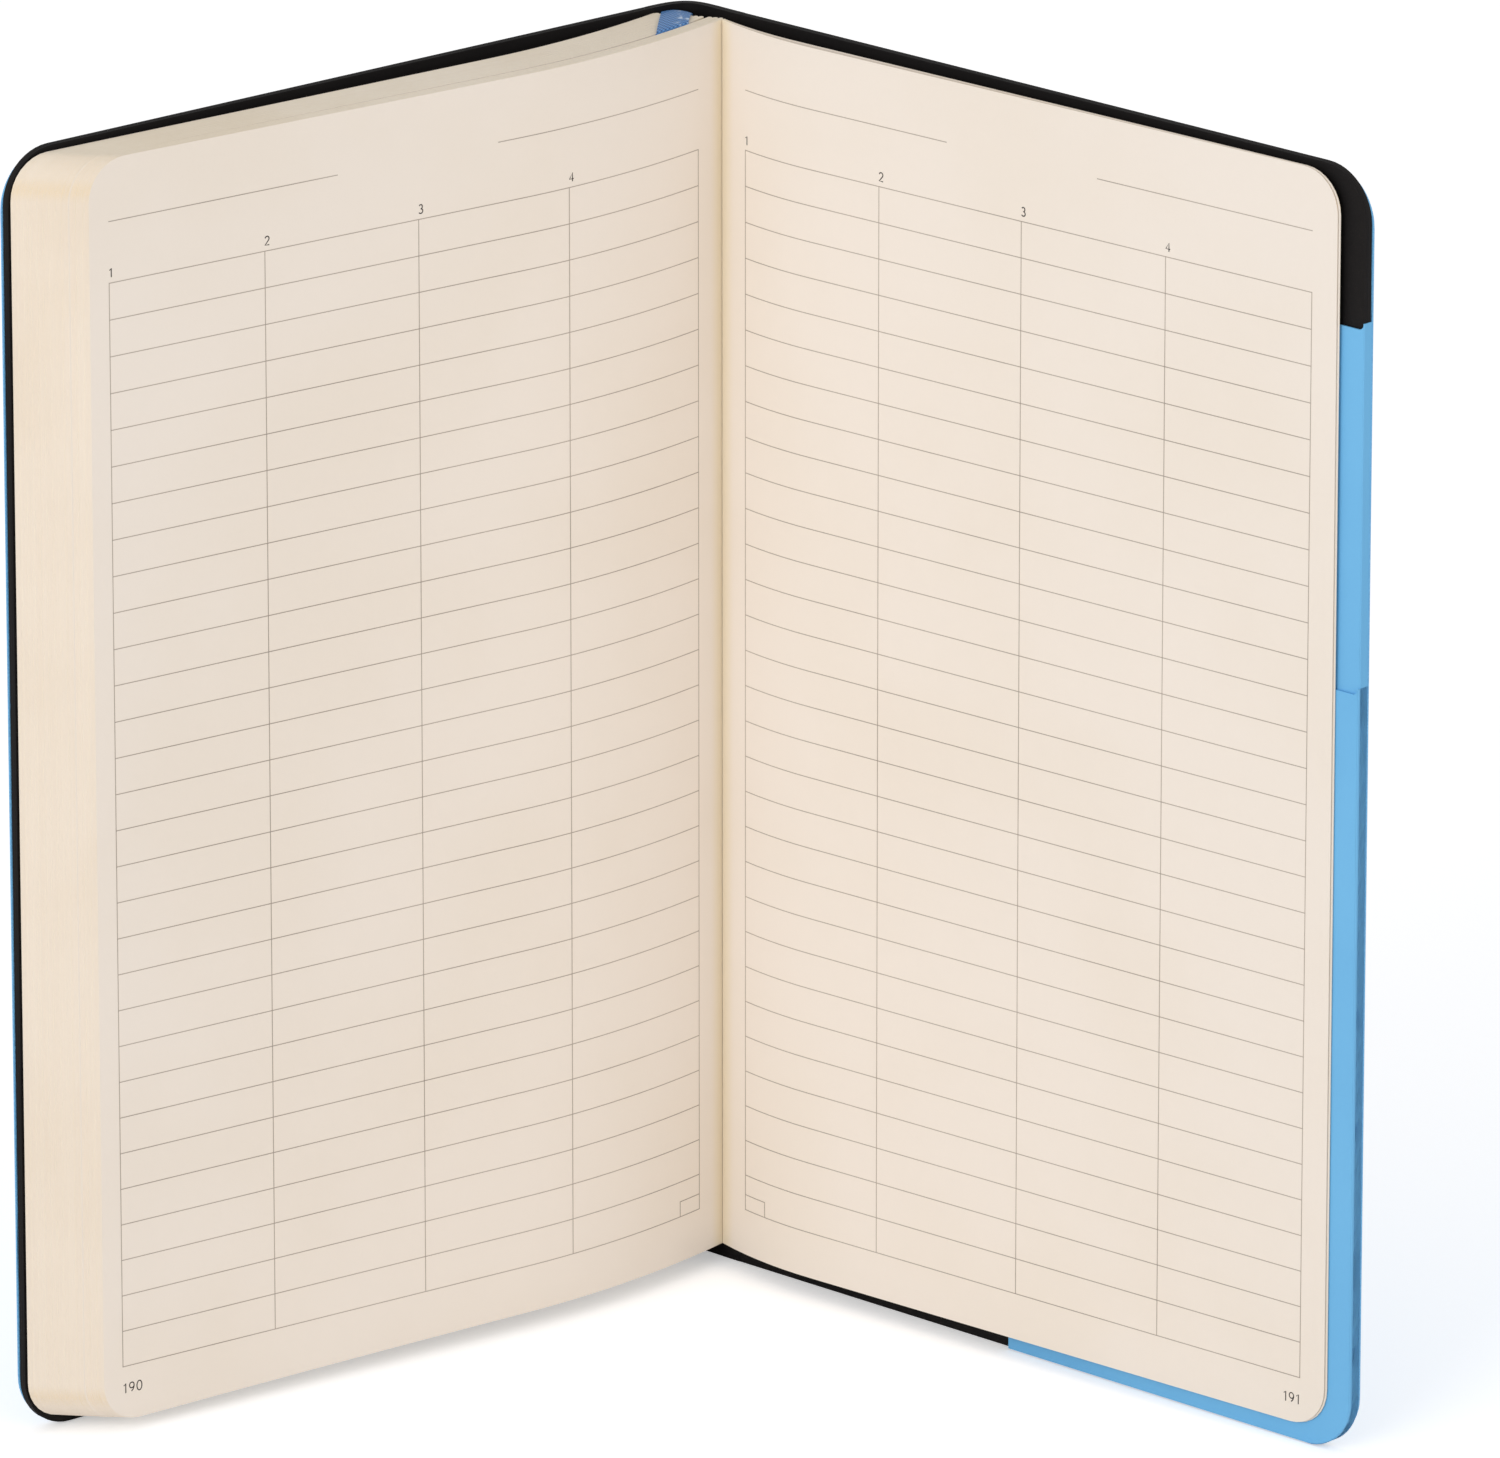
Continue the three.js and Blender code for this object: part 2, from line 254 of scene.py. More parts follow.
def joined(surfaces: list[Surface]) -> Surface:
    """One surface that holds several closed ones.

    Args:
        surfaces: The closed surfaces.

    Returns:
        Their points and faces one after the other, with the values that all of them have.
    """
    starts = np.cumsum([0] + [len(s.points) for s in surfaces[:-1]])
    names = set.intersection(*(set(s.values) for s in surfaces))
    return Surface(
        np.concatenate([s.points for s in surfaces]),
        np.concatenate([s.faces + start for s, start in zip(surfaces, starts)]),
        np.concatenate([s.rim for s in surfaces]),
        {name: np.concatenate([s.values[name] for s in surfaces]) for name in sorted(names)},
    )


def make_piece(name: str, surface: Surface, materials: list[bpy.types.Material]) -> bpy.types.Object:
    """Makes an object from a surface.

    Args:
        name: Name of the piece.
        surface: Its surface in millimetres.
        materials: The material of the sides, then that of the cut edges if it differs.

    Returns:
        The object, at the origin, with its place in its mesh.
    """
    mesh = bpy.data.meshes.new(name)
    mesh.from_pydata((surface.points * MM).tolist(), [], surface.faces.tolist())
    for material in materials:
        mesh.materials.append(material)
    if len(materials) > 1:
        mesh.polygons.foreach_set("material_index", surface.rim.astype(np.int32))
    for label, values in surface.values.items():
        flat = values.ndim == 1
        attribute = mesh.attributes.new(label, "FLOAT" if flat else "FLOAT_VECTOR", "POINT")
        attribute.data.foreach_set("value" if flat else "vector", values.astype(np.float32).ravel())
    mesh.update()
    piece = bpy.data.objects.new(name, mesh)
    bpy.context.scene.collection.objects.link(piece)
    return piece


def smooth_walls(piece: bpy.types.Object, angle: float = 30.0) -> None:
    """Shades a piece smoothly, apart from its sharp edges.

    Args:
        piece: The piece.
        angle: The angle in degrees past which an edge is sharp.
    """
    mesh = piece.data
    mesh.polygons.foreach_set("use_smooth", np.ones(len(mesh.polygons), bool))
    mesh.set_sharp_from_angle(angle=math.radians(angle))


def round_edges(piece: bpy.types.Object, width: float) -> None:
    """Rounds the sharp edges of a piece.

    Args:
        piece: The piece.
        width: Width of the bevel in millimetres.
    """
    bevel = piece.modifiers.new("edges", "BEVEL")
    bevel.width = width * MM
    bevel.segments = BEVEL_SEGMENTS
    bevel.limit_method = "ANGLE"
    bevel.angle_limit = math.radians(BEVEL_FROM_DEGREES)


def stand_for(piece: bpy.types.Object, node: str, slot: str) -> None:
    """Lets a piece stand for a node of the frame.

    Args:
        piece: The piece.
        node: Name of the node.
        slot: Not used.
    """
    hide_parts(node)
    log.info("%s stands for %s", piece.name, node)


def bend_between(
    piece: bpy.types.Object, bodies: tuple[str, str], start: np.ndarray, end: np.ndarray
) -> None:
    """Bakes a piece's transform into its mesh."""
    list(bodies)
    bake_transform(piece)


def corner_range(
    reach: np.ndarray, width: float, radius: float, low: float, high: float
) -> tuple[np.ndarray, np.ndarray]:
    """Height range of a plate with round fore-edge corners.

    Past width - radius each end draws in by r - sqrt(r^2 - (reach - (width - r))^2).

    Args:
        reach: Distances from the fold.
        width: Width of the plate.
        radius: Corner radius.
        low: Height of the tail edge.
        high: Height of the head edge.

    Returns:
        The lowest and the highest height at each distance.
    """
    past = np.clip(reach - (width - radius), 0, radius)
    inset = radius - np.sqrt(radius**2 - past**2)
    return low + inset, high - inset


# Finishes


@dataclass(frozen=True)
class Graph:
    """Short calls for making and joining the nodes of one tree.

    mix_inputs are the places of the factor and of the two colours among a mix node's inputs, and
    mix_output is the place of the mixed colour among its outputs.
    """

    tree: bpy.types.NodeTree
    mix_inputs: tuple[int, int, int] = (0, 6, 7)
    mix_output: int = 2

    def add(self, kind: str, **settings: object) -> bpy.types.Node:
        """Adds a node.

        Args:
            kind: Type of the node.
            settings: Its properties by name.

        Returns:
            The node.
        """
        node = self.tree.nodes.new(kind)
        for name, value in settings.items():
            setattr(node, name, value)
        return node

    def join(self, source: bpy.types.NodeSocket, target: bpy.types.NodeSocket) -> None:
        """Links an output to an input."""
        self.tree.links.new(source, target)

    def fill(self, socket: bpy.types.NodeSocket, value: object) -> None:
        """Fills an input.

        Args:
            socket: The input.
            value: An output to link it to, a colour without alpha, or a number.
        """
        if isinstance(value, bpy.types.NodeSocket):
            self.join(value, socket)
        elif isinstance(value, tuple) and socket.type == "RGBA":
            socket.default_value = (*value, 1.0)
        else:
            socket.default_value = value

    def math(self, operation: str, *values: object) -> bpy.types.NodeSocket:
        """A math node.

        Args:
            operation: What it does.
            values: Sockets or numbers for its inputs.

        Returns:
            Its output.
        """
        node = self.add("ShaderNodeMath", operation=operation)
        for slot, value in zip(node.inputs, values):
            self.fill(slot, value)
        return node.outputs[0]

    def noise(self, vector: bpy.types.NodeSocket, scale: float, detail: float) -> bpy.types.NodeSocket:
        """A noise texture.

        Args:
            vector: The coordinates that it reads.
            scale: Its scale per metre.
            detail: Its detail.

        Returns:
            Its value.
        """
        node = self.add("ShaderNodeTexNoise")
        node.inputs["Scale"].default_value = scale
        node.inputs["Detail"].default_value = detail
        self.join(vector, node.inputs["Vector"])
        return node.outputs["Fac"]

    def stretched(self, vector: bpy.types.NodeSocket, scale: tuple) -> bpy.types.NodeSocket:
        """A vector scaled along its axes.

        Args:
            vector: The vector.
            scale: One factor for each axis.

        Returns:
            The scaled vector.
        """
        node = self.add("ShaderNodeMapping")
        node.inputs["Scale"].default_value = scale
        self.join(vector, node.inputs["Vector"])
        return node.outputs[0]

    def mix(self, factor: object, first: object, second: object) -> bpy.types.NodeSocket:
        """A colour mix.

        Args:
            factor: Share of the second colour, as a socket or a number.
            first: A socket or a colour.
            second: A socket or a colour.

        Returns:
            The mixed colour.
        """
        node = self.add("ShaderNodeMix", data_type="RGBA")
        for place, value in zip(self.mix_inputs, (factor, first, second)):
            self.fill(node.inputs[place], value)
        return node.outputs[self.mix_output]

    def ramp(self, value: bpy.types.NodeSocket, low: float, high: float) -> bpy.types.NodeSocket:
        """A value spread onto 0 to 1 with soft ends, and held there.

        Args:
            value: The value.
            low: What becomes 0.
            high: What becomes 1.

        Returns:
            The spread value.
        """
        node = self.add("ShaderNodeMapRange", clamp=True, interpolation_type="SMOOTHSTEP")
        node.inputs["From Min"].default_value = low
        node.inputs["From Max"].default_value = high
        self.join(value, node.inputs["Value"])
        return node.outputs[0]

    def inverse_ramp(self, value: bpy.types.NodeSocket, low: float, high: float) -> bpy.types.NodeSocket:
        """A value spread from low to high onto 1 to 0, and held there."""
        return self.math("SUBTRACT", 1.0, self.ramp(value, low, high))


class GroupName(Enum):
    """The effects that more than one finish uses."""

    FIBRE = "fibre_mottle"
    GRAIN = "pressed_grain"
    WEAVE = "cloth_weave"


@dataclass
class Effects:
    """Node groups for the effects that more than one finish uses, each built once.

    Scales are per metre. A range holds the noise values between which a mark comes up, and a share
    is how much of the second colour a mark mixes in.
    """

    cloud_scale: float = 26.0
    cloud_range: tuple[float, float] = (0.35, 0.7)
    speck_scale: float = 1700.0
    speck_range: tuple[float, float] = (0.5, 0.78)
    speck_share: float = 0.06
    fibre_scale: float = 2600.0
    fibre_stretch: tuple = (1.0, 1.0, 0.35)
    dome_rise: float = 0.22
    crease_share: float = 0.35
    rub_scale: float = 40.0
    rub_range: tuple[float, float] = (0.4, 0.75)
    rub_share: float = 0.18
    rub_roughness: float = 0.12
    made: dict[GroupName, bpy.types.NodeTree] = field(default_factory=dict)

    def group(self, name: GroupName) -> bpy.types.NodeTree:
        """The group of an effect, made at its first use.

        Args:
            name: The effect.

        Returns:
            Its node group.
        """
        if name not in self.made:
            build = {
                GroupName.FIBRE: self.build_fibre,
                GroupName.GRAIN: self.build_grain,
                GroupName.WEAVE: self.build_weave,
            }[name]
            self.made[name] = build(bpy.data.node_groups.new(name.value, "ShaderNodeTree"))
        return self.made[name]

    @staticmethod
    def sockets(
        tree: bpy.types.NodeTree, inputs: dict[str, tuple[str, object]], outputs: dict[str, str]
    ) -> tuple[bpy.types.Node, bpy.types.Node]:
        """Names a group's sockets.

        Args:
            tree: The group.
            inputs: Socket type and default of each input.
            outputs: Socket type of each output.

        Returns:
            The group's input node and output node.
        """
        for label, (kind, default) in inputs.items():
            made = tree.interface.new_socket(label, in_out="INPUT", socket_type=kind)
            if default is not None:
                made.default_value = default
        for label, kind in outputs.items():
            tree.interface.new_socket(label, in_out="OUTPUT", socket_type=kind)
        return tree.nodes.new("NodeGroupInput"), tree.nodes.new("NodeGroupOutput")

    def build_fibre(self, tree: bpy.types.NodeTree) -> bpy.types.NodeTree:
        """Paper: soft clouds of tone and fine fibres, in colour and in height.

        Args:
            tree: The empty group.

        Returns:
            The group with its nodes.
        """
        given, out = self.sockets(
            tree,
            {
                "Vector": ("NodeSocketVector", None),
                "Base": ("NodeSocketColor", (0.8, 0.8, 0.8, 1)),
                "Shade": ("NodeSocketColor", (0.6, 0.6, 0.6, 1)),
                "Cloud": ("NodeSocketFloat", 0.3),
            },
            {"Color": "NodeSocketColor", "Height": "NodeSocketFloat"},
        )
        graph = Graph(tree)
        vector = given.outputs["Vector"]
        cloud = graph.ramp(graph.noise(vector, self.cloud_scale, detail=3.0), *self.cloud_range)
        speck = graph.ramp(graph.noise(vector, self.speck_scale, detail=2.0), *self.speck_range)
        amount = graph.math("MULTIPLY", cloud, given.outputs["Cloud"])
        fleck = graph.math("MULTIPLY", speck, self.speck_share)
        total = graph.math("ADD", amount, fleck)
        colour = graph.mix(total, given.outputs["Base"], given.outputs["Shade"])
        long_fibres = graph.stretched(vector, self.fibre_stretch)
        fibre = graph.noise(long_fibres, self.fibre_scale, detail=3.0)
        graph.join(colour, out.inputs["Color"])
        graph.join(fibre, out.inputs["Height"])
        return tree

    def build_grain(self, tree: bpy.types.NodeTree) -> bpy.types.NodeTree:
        """Pressed grain: small rounded cells with creases between them.

        Args:
            tree: The empty group.

        Returns:
            The group with its nodes.
        """
        given, out = self.sockets(
            tree,
            {
                "Vector": ("NodeSocketVector", None),
                "Base": ("NodeSocketColor", (0.8, 0.8, 0.8, 1)),
                "Crease": ("NodeSocketColor", (0.6, 0.6, 0.6, 1)),
                "Cells": ("NodeSocketFloat", 1800.0),
                "Roughness": ("NodeSocketFloat", 0.5),
            },
            {
                "Color": "NodeSocketColor",
                "Height": "NodeSocketFloat",
                "Roughness": "NodeSocketFloat",
            },
        )
        graph = Graph(tree)
        cells = graph.add("ShaderNodeTexVoronoi", feature="DISTANCE_TO_EDGE")
        graph.join(given.outputs["Vector"], cells.inputs["Vector"])
        graph.join(given.outputs["Cells"], cells.inputs["Scale"])
        dome = graph.ramp(cells.outputs["Distance"], 0.0, self.dome_rise)
        patches = graph.noise(given.outputs["Vector"], self.rub_scale, detail=4.0)
        rub = graph.ramp(patches, *self.rub_range)
        crease = graph.math("MULTIPLY", graph.math("SUBTRACT", 1.0, dome), self.crease_share)
        shade = graph.math("ADD", crease, graph.math("MULTIPLY", rub, self.rub_share))
        colour = graph.mix(shade, given.outputs["Base"], given.outputs["Crease"])
        worn = graph.math("MULTIPLY", rub, self.rub_roughness)
        rough = graph.math("ADD", given.outputs["Roughness"], worn)
        graph.join(colour, out.inputs["Color"])
        graph.join(dome, out.inputs["Height"])
        graph.join(rough, out.inputs["Roughness"])
        return tree

    def build_weave(self, tree: bpy.types.NodeTree) -> bpy.types.NodeTree:
        """Plain weave: two crossed sets of threads, each over the other by turns.

        Args:
            tree: The empty group.

        Returns:
            The group with its nodes.
        """
        given, out = self.sockets(
            tree,
            {
                "Across": ("NodeSocketFloat", 0.0),
                "Along": ("NodeSocketFloat", 0.0),
                "Pitch": ("NodeSocketFloat", 0.3),
                "Base": ("NodeSocketColor", (0.8, 0.8, 0.8, 1)),
                "Gap": ("NodeSocketColor", (0.4, 0.4, 0.4, 1)),
            },
            {"Color": "NodeSocketColor", "Height": "NodeSocketFloat"},
        )
        graph = Graph(tree)
        waves = []
        for label in ("Across", "Along"):
            turns = graph.math("DIVIDE", given.outputs[label], given.outputs["Pitch"])
            waves.append(graph.math("SINE", graph.math("MULTIPLY", turns, math.pi)))
        over = graph.math("MULTIPLY", waves[0], waves[1])
        height = graph.ramp(over, -1.0, 1.0)
        colour = graph.mix(height, given.outputs["Gap"], given.outputs["Base"])
        graph.join(colour, out.inputs["Color"])
        graph.join(height, out.inputs["Height"])
        return tree


def tone(red: int, green: int, blue: int) -> tuple[float, float, float]:
    """The linear colour that a shader takes.

    Args:
        red: Red of the screen colour, 0 to 255.
        green: Its green.
        blue: Its blue.

    Returns:
        The three linear values, 0 to 1.
    """
    share = np.array([red, green, blue]) / 255
    linear = np.where(share <= 0.04045, share / 12.92, ((share + 0.055) / 1.055) ** 2.4)
    return tuple(float(value) for value in linear)


class Finish:
    """A material with a Principled shader, and what every finish needs to fill it."""

    def __init__(self, name: str, roughness: float, specular: float = 0.3) -> None:
        """Makes the material with its plain values.

        Args:
            name: Name of the material.
            roughness: Roughness of the shader.
            specular: Level of its specular reflection.
        """
        self.material = bpy.data.materials.new(name)
        self.material.use_nodes = True
        self.graph = Graph(self.material.node_tree)
        self.shader = self.material.node_tree.nodes["Principled BSDF"]
        self.shader.inputs["Roughness"].default_value = roughness
        self.shader.inputs["Specular IOR Level"].default_value = specular

    def object_vector(self) -> bpy.types.NodeSocket:
        """Object coordinates in metres."""
        return self.graph.add("ShaderNodeTexCoord").outputs["Object"]

    def read(self, attribute: str) -> bpy.types.NodeSocket:
        """A number that a piece carries in an attribute."""
        return self.graph.add("ShaderNodeAttribute", attribute_name=attribute).outputs["Fac"]

    def split(self, vector: bpy.types.NodeSocket) -> bpy.types.Node:
        """Parts a vector into its three numbers.

        Args:
            vector: The vector.

        Returns:
            The node whose outputs are the numbers.
        """
        parts = self.graph.add("ShaderNodeSeparateXYZ")
        self.graph.join(vector, parts.inputs[0])
        return parts

    def read_place(self) -> bpy.types.Node:
        """The node that gives a piece's page_place: reach, height and side."""
        source = self.graph.add("ShaderNodeAttribute", attribute_name="page_place")
        return self.split(source.outputs["Vector"])

    def use(self, effects: Effects, name: GroupName, values: dict[str, object]) -> bpy.types.Node:
        """Places an effect.

        Args:
            effects: The node groups.
            name: The effect.
            values: Its inputs by name.

        Returns:
            The group's node.
        """
        node = self.graph.add("ShaderNodeGroup", node_tree=effects.group(name))
        for label, value in values.items():
            self.graph.fill(node.inputs[label], value)
        return node

    def use_fibre(self, effects: Effects, base: tuple, shade: tuple, cloud: float) -> bpy.types.Node:
        """Places the paper effect on the object coordinates.

        Args:
            effects: The node groups.
            base: The plain colour.
            shade: The colour of clouds and specks.
            cloud: How strong the clouds are.

        Returns:
            The group's node.
        """
        values = {"Vector": self.object_vector(), "Base": base, "Shade": shade, "Cloud": cloud}
        return self.use(effects, GroupName.FIBRE, values)

    def colour(self, source: bpy.types.NodeSocket) -> None:
        """Sends a colour to the shader."""
        self.graph.join(source, self.shader.inputs["Base Color"])

    def bump(self, height: bpy.types.NodeSocket, depth: float, strength: float) -> None:
        """Sends a bump to the shader.

        Args:
            height: The height, 0 to 1.
            depth: What a height of 1 stands for, in millimetres.
            strength: Strength of the bump.
        """
        node = self.graph.add("ShaderNodeBump")
        node.inputs["Distance"].default_value = depth * MM
        node.inputs["Strength"].default_value = strength
        self.graph.join(height, node.inputs["Height"])
        self.graph.join(node.outputs["Normal"], self.shader.inputs["Normal"])


@dataclass(frozen=True)
class PagePaper:
    """Uncoated cream book paper: faint clouds and fibres, and a warmer strip along the fold."""

    base: tuple = tone(244, 234, 223)
    shade: tuple = tone(238, 226, 210)
    warm: tuple = tone(242, 228, 198)
    strip_start: float = 0.8
    strip_end: float = 3.6
    strip_share: float = 0.6
    cloud: float = 0.35
    roughness: float = 0.88
    specular: float = 0.2
    bump_depth: float = 0.02
    bump_strength: float = 0.35

    def build(self, effects: Effects) -> bpy.types.Material:
        """The material of page faces.

        Args:
            effects: The node groups.

        Returns:
            The material.
        """
        finish = Finish("page_paper", self.roughness, self.specular)
        graph = finish.graph
        fibre = finish.use_fibre(effects, self.base, self.shade, self.cloud)
        reach = finish.read_place().outputs["X"]
        near = graph.inverse_ramp(reach, self.strip_start, self.strip_end)
        warmth = graph.math("MULTIPLY", near, self.strip_share)
        finish.colour(graph.mix(warmth, fibre.outputs["Color"], self.warm))
        finish.bump(fibre.outputs["Height"], self.bump_depth, self.bump_strength)
        return finish.material


@dataclass(frozen=True)
class CutEdges:
    """Trimmed edges of the leaves: a tone for each leaf, streaks along the cut, warm at the turns."""

    base: tuple = tone(252, 242, 226)
    shade: tuple = tone(232, 214, 186)
    warm: tuple = tone(240, 214, 160)
    head_turn: float = 206.4
    tail_turn: float = 6.2
    turn_width: float = 2.2
    turn_share: float = 0.5
    cloud: float = 0.4
    leaf_share: float = 0.12
    streak_share: float = 0.3
    streak_scale: float = 900.0
    streak_stretch: tuple = (1.0, 1.0, 0.02)
    roughness: float = 0.92
    specular: float = 0.15
    bump_depth: float = 0.05
    bump_strength: float = 0.4

    def build(self, effects: Effects) -> bpy.types.Material:
        """The material of the leaves' cut edges.

        Args:
            effects: The node groups.

        Returns:
            The material.
        """
        finish = Finish("trimmed_leaf_edges", self.roughness, self.specular)
        graph = finish.graph
        fibre = finish.use_fibre(effects, self.base, self.shade, self.cloud)
        vector = graph.stretched(finish.object_vector(), self.streak_stretch)
        streak = graph.noise(vector, self.streak_scale, detail=2.0)
        amount = graph.math("MULTIPLY", finish.read("leaf_tone"), self.leaf_share)
        amount = graph.math("ADD", amount, graph.math("MULTIPLY", streak, self.streak_share))
        colour = graph.mix(amount, fibre.outputs["Color"], self.shade)
        height = finish.read_place().outputs["Y"]
        bands = [
            graph.inverse_ramp(
                graph.math("ABSOLUTE", graph.math("SUBTRACT", height, turn)), 0.0, self.turn_width
            )
            for turn in (self.head_turn, self.tail_turn)
        ]
        warmth = graph.math("MULTIPLY", graph.math("ADD", *bands), self.turn_share)
        finish.colour(graph.mix(warmth, colour, self.warm))
        finish.bump(streak, self.bump_depth, self.bump_strength)
        return finish.material


@dataclass(frozen=True)
class GrainedSheet:
    """A coated or pressed sheet with a fine grain, such as the cover's skin and its lining."""

    name: str
    base: tuple
    crease: tuple
    cells: float
    roughness: float
    specular: float
    bump_depth: float
    bump_strength: float = 0.5

    def build(self, effects: Effects) -> bpy.types.Material:
        """The material of a grained sheet.

        Args:
            effects: The node groups.

        Returns:
            The material.
        """
        finish = Finish(self.name, self.roughness, self.specular)
        grain = finish.use(
            effects,
            GroupName.GRAIN,
            {
                "Vector": finish.object_vector(),
                "Base": self.base,
                "Crease": self.crease,
                "Cells": self.cells,
                "Roughness": self.roughness,
            },
        )
        finish.colour(grain.outputs["Color"])
        finish.graph.join(grain.outputs["Roughness"], finish.shader.inputs["Roughness"])
        finish.bump(grain.outputs["Height"], self.bump_depth, self.bump_strength)
        return finish.material


@dataclass(frozen=True)
class CardSheet:
    """Dyed card or board with fibres, such as the pocket and the cover's board."""

    name: str
    base: tuple
    shade: tuple
    roughness: float
    specular: float = 0.3
    cloud: float = 0.4
    bump_depth: float = 0.02
    bump_strength: float = 0.3

    def build(self, effects: Effects) -> bpy.types.Material:
        """The material of a card sheet.

        Args:
            effects: The node groups.

        Returns:
            The material.
        """
        finish = Finish(self.name, self.roughness, self.specular)
        fibre = finish.use_fibre(effects, self.base, self.shade, self.cloud)
        finish.colour(fibre.outputs["Color"])
        finish.bump(fibre.outputs["Height"], self.bump_depth, self.bump_strength)
        return finish.material


class WeaveLay(Enum):
    """How the threads lie: in a band, in a flat cloth or in a twisted thread."""

    BAND = "band"
    FLAT = "flat"
    TWIST = "twist"


@dataclass(frozen=True)
class WovenCloth:
    """Woven or twisted threads: the ribbon, the gauze and the sewing thread."""

    name: str
    base: tuple
    gap: tuple
    pitch: float
    roughness: float
    bump_depth: float
    laid: WeaveLay
    # The glint fields paint highlight specks on the band: glint is their strength, shine their colour, and
    # the streak fields shape them.
    glint: float = 0.0
    shine: tuple = tone(222, 236, 250)
    glint_start: float = 3.0
    glint_end: float = 6.0
    streak_scale: float = 900.0
    streak_stretch: tuple = (1.0, 1.0, 0.4)
    streak_range: tuple[float, float] = (0.5, 0.66)
    specular: float = 0.3
    bump_strength: float = 0.6

    def build(self, effects: Effects) -> bpy.types.Material:
        """The material of a woven piece.

        A band is woven on its page_place attribute. A piece that keeps its own shape is woven on
        its object coordinates, where a twisted thread has slanting strands.

        Args:
            effects: The node groups.

        Returns:
            The material.
        """
        finish = Finish(self.name, self.roughness, self.specular)
        graph = finish.graph
        if self.laid is WeaveLay.BAND:
            place = finish.read_place()
            across, along = place.outputs["X"], place.outputs["Y"]
        else:
            place = finish.split(graph.stretched(finish.object_vector(), (1 / MM, 1 / MM, 1 / MM)))
            across, along = place.outputs["X"], place.outputs["Z"]
        if self.laid is WeaveLay.TWIST:
            along = graph.math("ADD", across, along)
        weave = finish.use(
            effects,
            GroupName.WEAVE,
            {
                "Across": across,
                "Along": along,
                "Pitch": self.pitch,
                "Base": self.base,
                "Gap": self.gap,
            },
        )
        colour = weave.outputs["Color"]
        # Painted highlight: light specks of the shine colour, from stretched noise, over the band's far side
        # from glint_start to glint_end across it.
        if self.glint:
            vector = graph.stretched(finish.object_vector(), self.streak_stretch)
            streaks = graph.ramp(graph.noise(vector, self.streak_scale, detail=2.0), *self.streak_range)
            side = graph.ramp(across, self.glint_start, self.glint_end)
            lit = graph.math("MULTIPLY", graph.math("MULTIPLY", streaks, side), self.glint)
            colour = graph.mix(lit, colour, self.shine)
        finish.colour(colour)
        finish.bump(weave.outputs["Height"], self.bump_depth, self.bump_strength)
        return finish.material


@dataclass(frozen=True)
class PrintInk:
    """Thin grey-brown printing ink, a little uneven."""

    name: str
    base: tuple
    shade: tuple
    roughness: float = 0.8
    specular: float = 0.2
    cloud: float = 0.8

    def build(self, effects: Effects) -> bpy.types.Material:
        """The material of the printed rules and numbers.

        Args:
            effects: The node groups.

        Returns:
            The material.
        """
        finish = Finish(self.name, self.roughness, self.specular)
        fibre = finish.use_fibre(effects, self.base, self.shade, self.cloud)
        finish.colour(fibre.outputs["Color"])
        return finish.material


@dataclass
class Finishes:
    """Every finish of the notebook, made once."""

    effects: Effects = field(default_factory=Effects)

    def __post_init__(self) -> None:
        """Builds the materials."""
        effects = self.effects
        self.page = PagePaper().build(effects)
        self.edges = CutEdges().build(effects)
        self.ruling = PrintInk(
            name="ruling_ink", base=tone(186, 174, 162), shade=tone(166, 154, 142)
        ).build(effects)
        self.number = PrintInk(
            name="number_ink", base=tone(72, 67, 64), shade=tone(56, 52, 50)
        ).build(effects)
        self.skin = GrainedSheet(
            name="blue_cover_skin",
            base=tone(122, 190, 236),
            crease=tone(84, 150, 205),
            cells=1500.0,
            roughness=0.5,
            specular=0.35,
            bump_depth=0.05,
        ).build(effects)
        self.lining = GrainedSheet(
            name="black_lining",
            base=tone(20, 17, 17),
            crease=tone(10, 8, 8),
            cells=2600.0,
            roughness=0.6,
            specular=0.2,
            bump_depth=0.02,
        ).build(effects)
        self.board = CardSheet(
            name="black_board", base=tone(28, 24, 23), shade=tone(15, 13, 13), roughness=0.85
        ).build(effects)
        self.pocket = CardSheet(
            name="sky_blue_pocket", base=tone(117, 190, 238), shade=tone(104, 177, 229), roughness=0.6
        ).build(effects)
        self.ribbon = WovenCloth(
            name="blue_ribbon",
            base=tone(98, 158, 220),
            gap=tone(34, 80, 142),
            pitch=0.5,
            roughness=0.34,
            bump_depth=0.1,
            laid=WeaveLay.BAND,
            glint=0.8,
        ).build(effects)
        self.gauze = WovenCloth(
            name="book_gauze",
            base=tone(226, 219, 203),
            gap=tone(120, 110, 94),
            pitch=0.8,
            roughness=0.9,
            bump_depth=0.15,
            laid=WeaveLay.FLAT,
        ).build(effects)
        self.thread = WovenCloth(
            name="sewing_thread",
            base=tone(240, 236, 226),
            gap=tone(176, 168, 152),
            pitch=0.4,
            roughness=0.8,
            bump_depth=0.05,
            laid=WeaveLay.TWIST,
        ).build(effects)


# The notebook


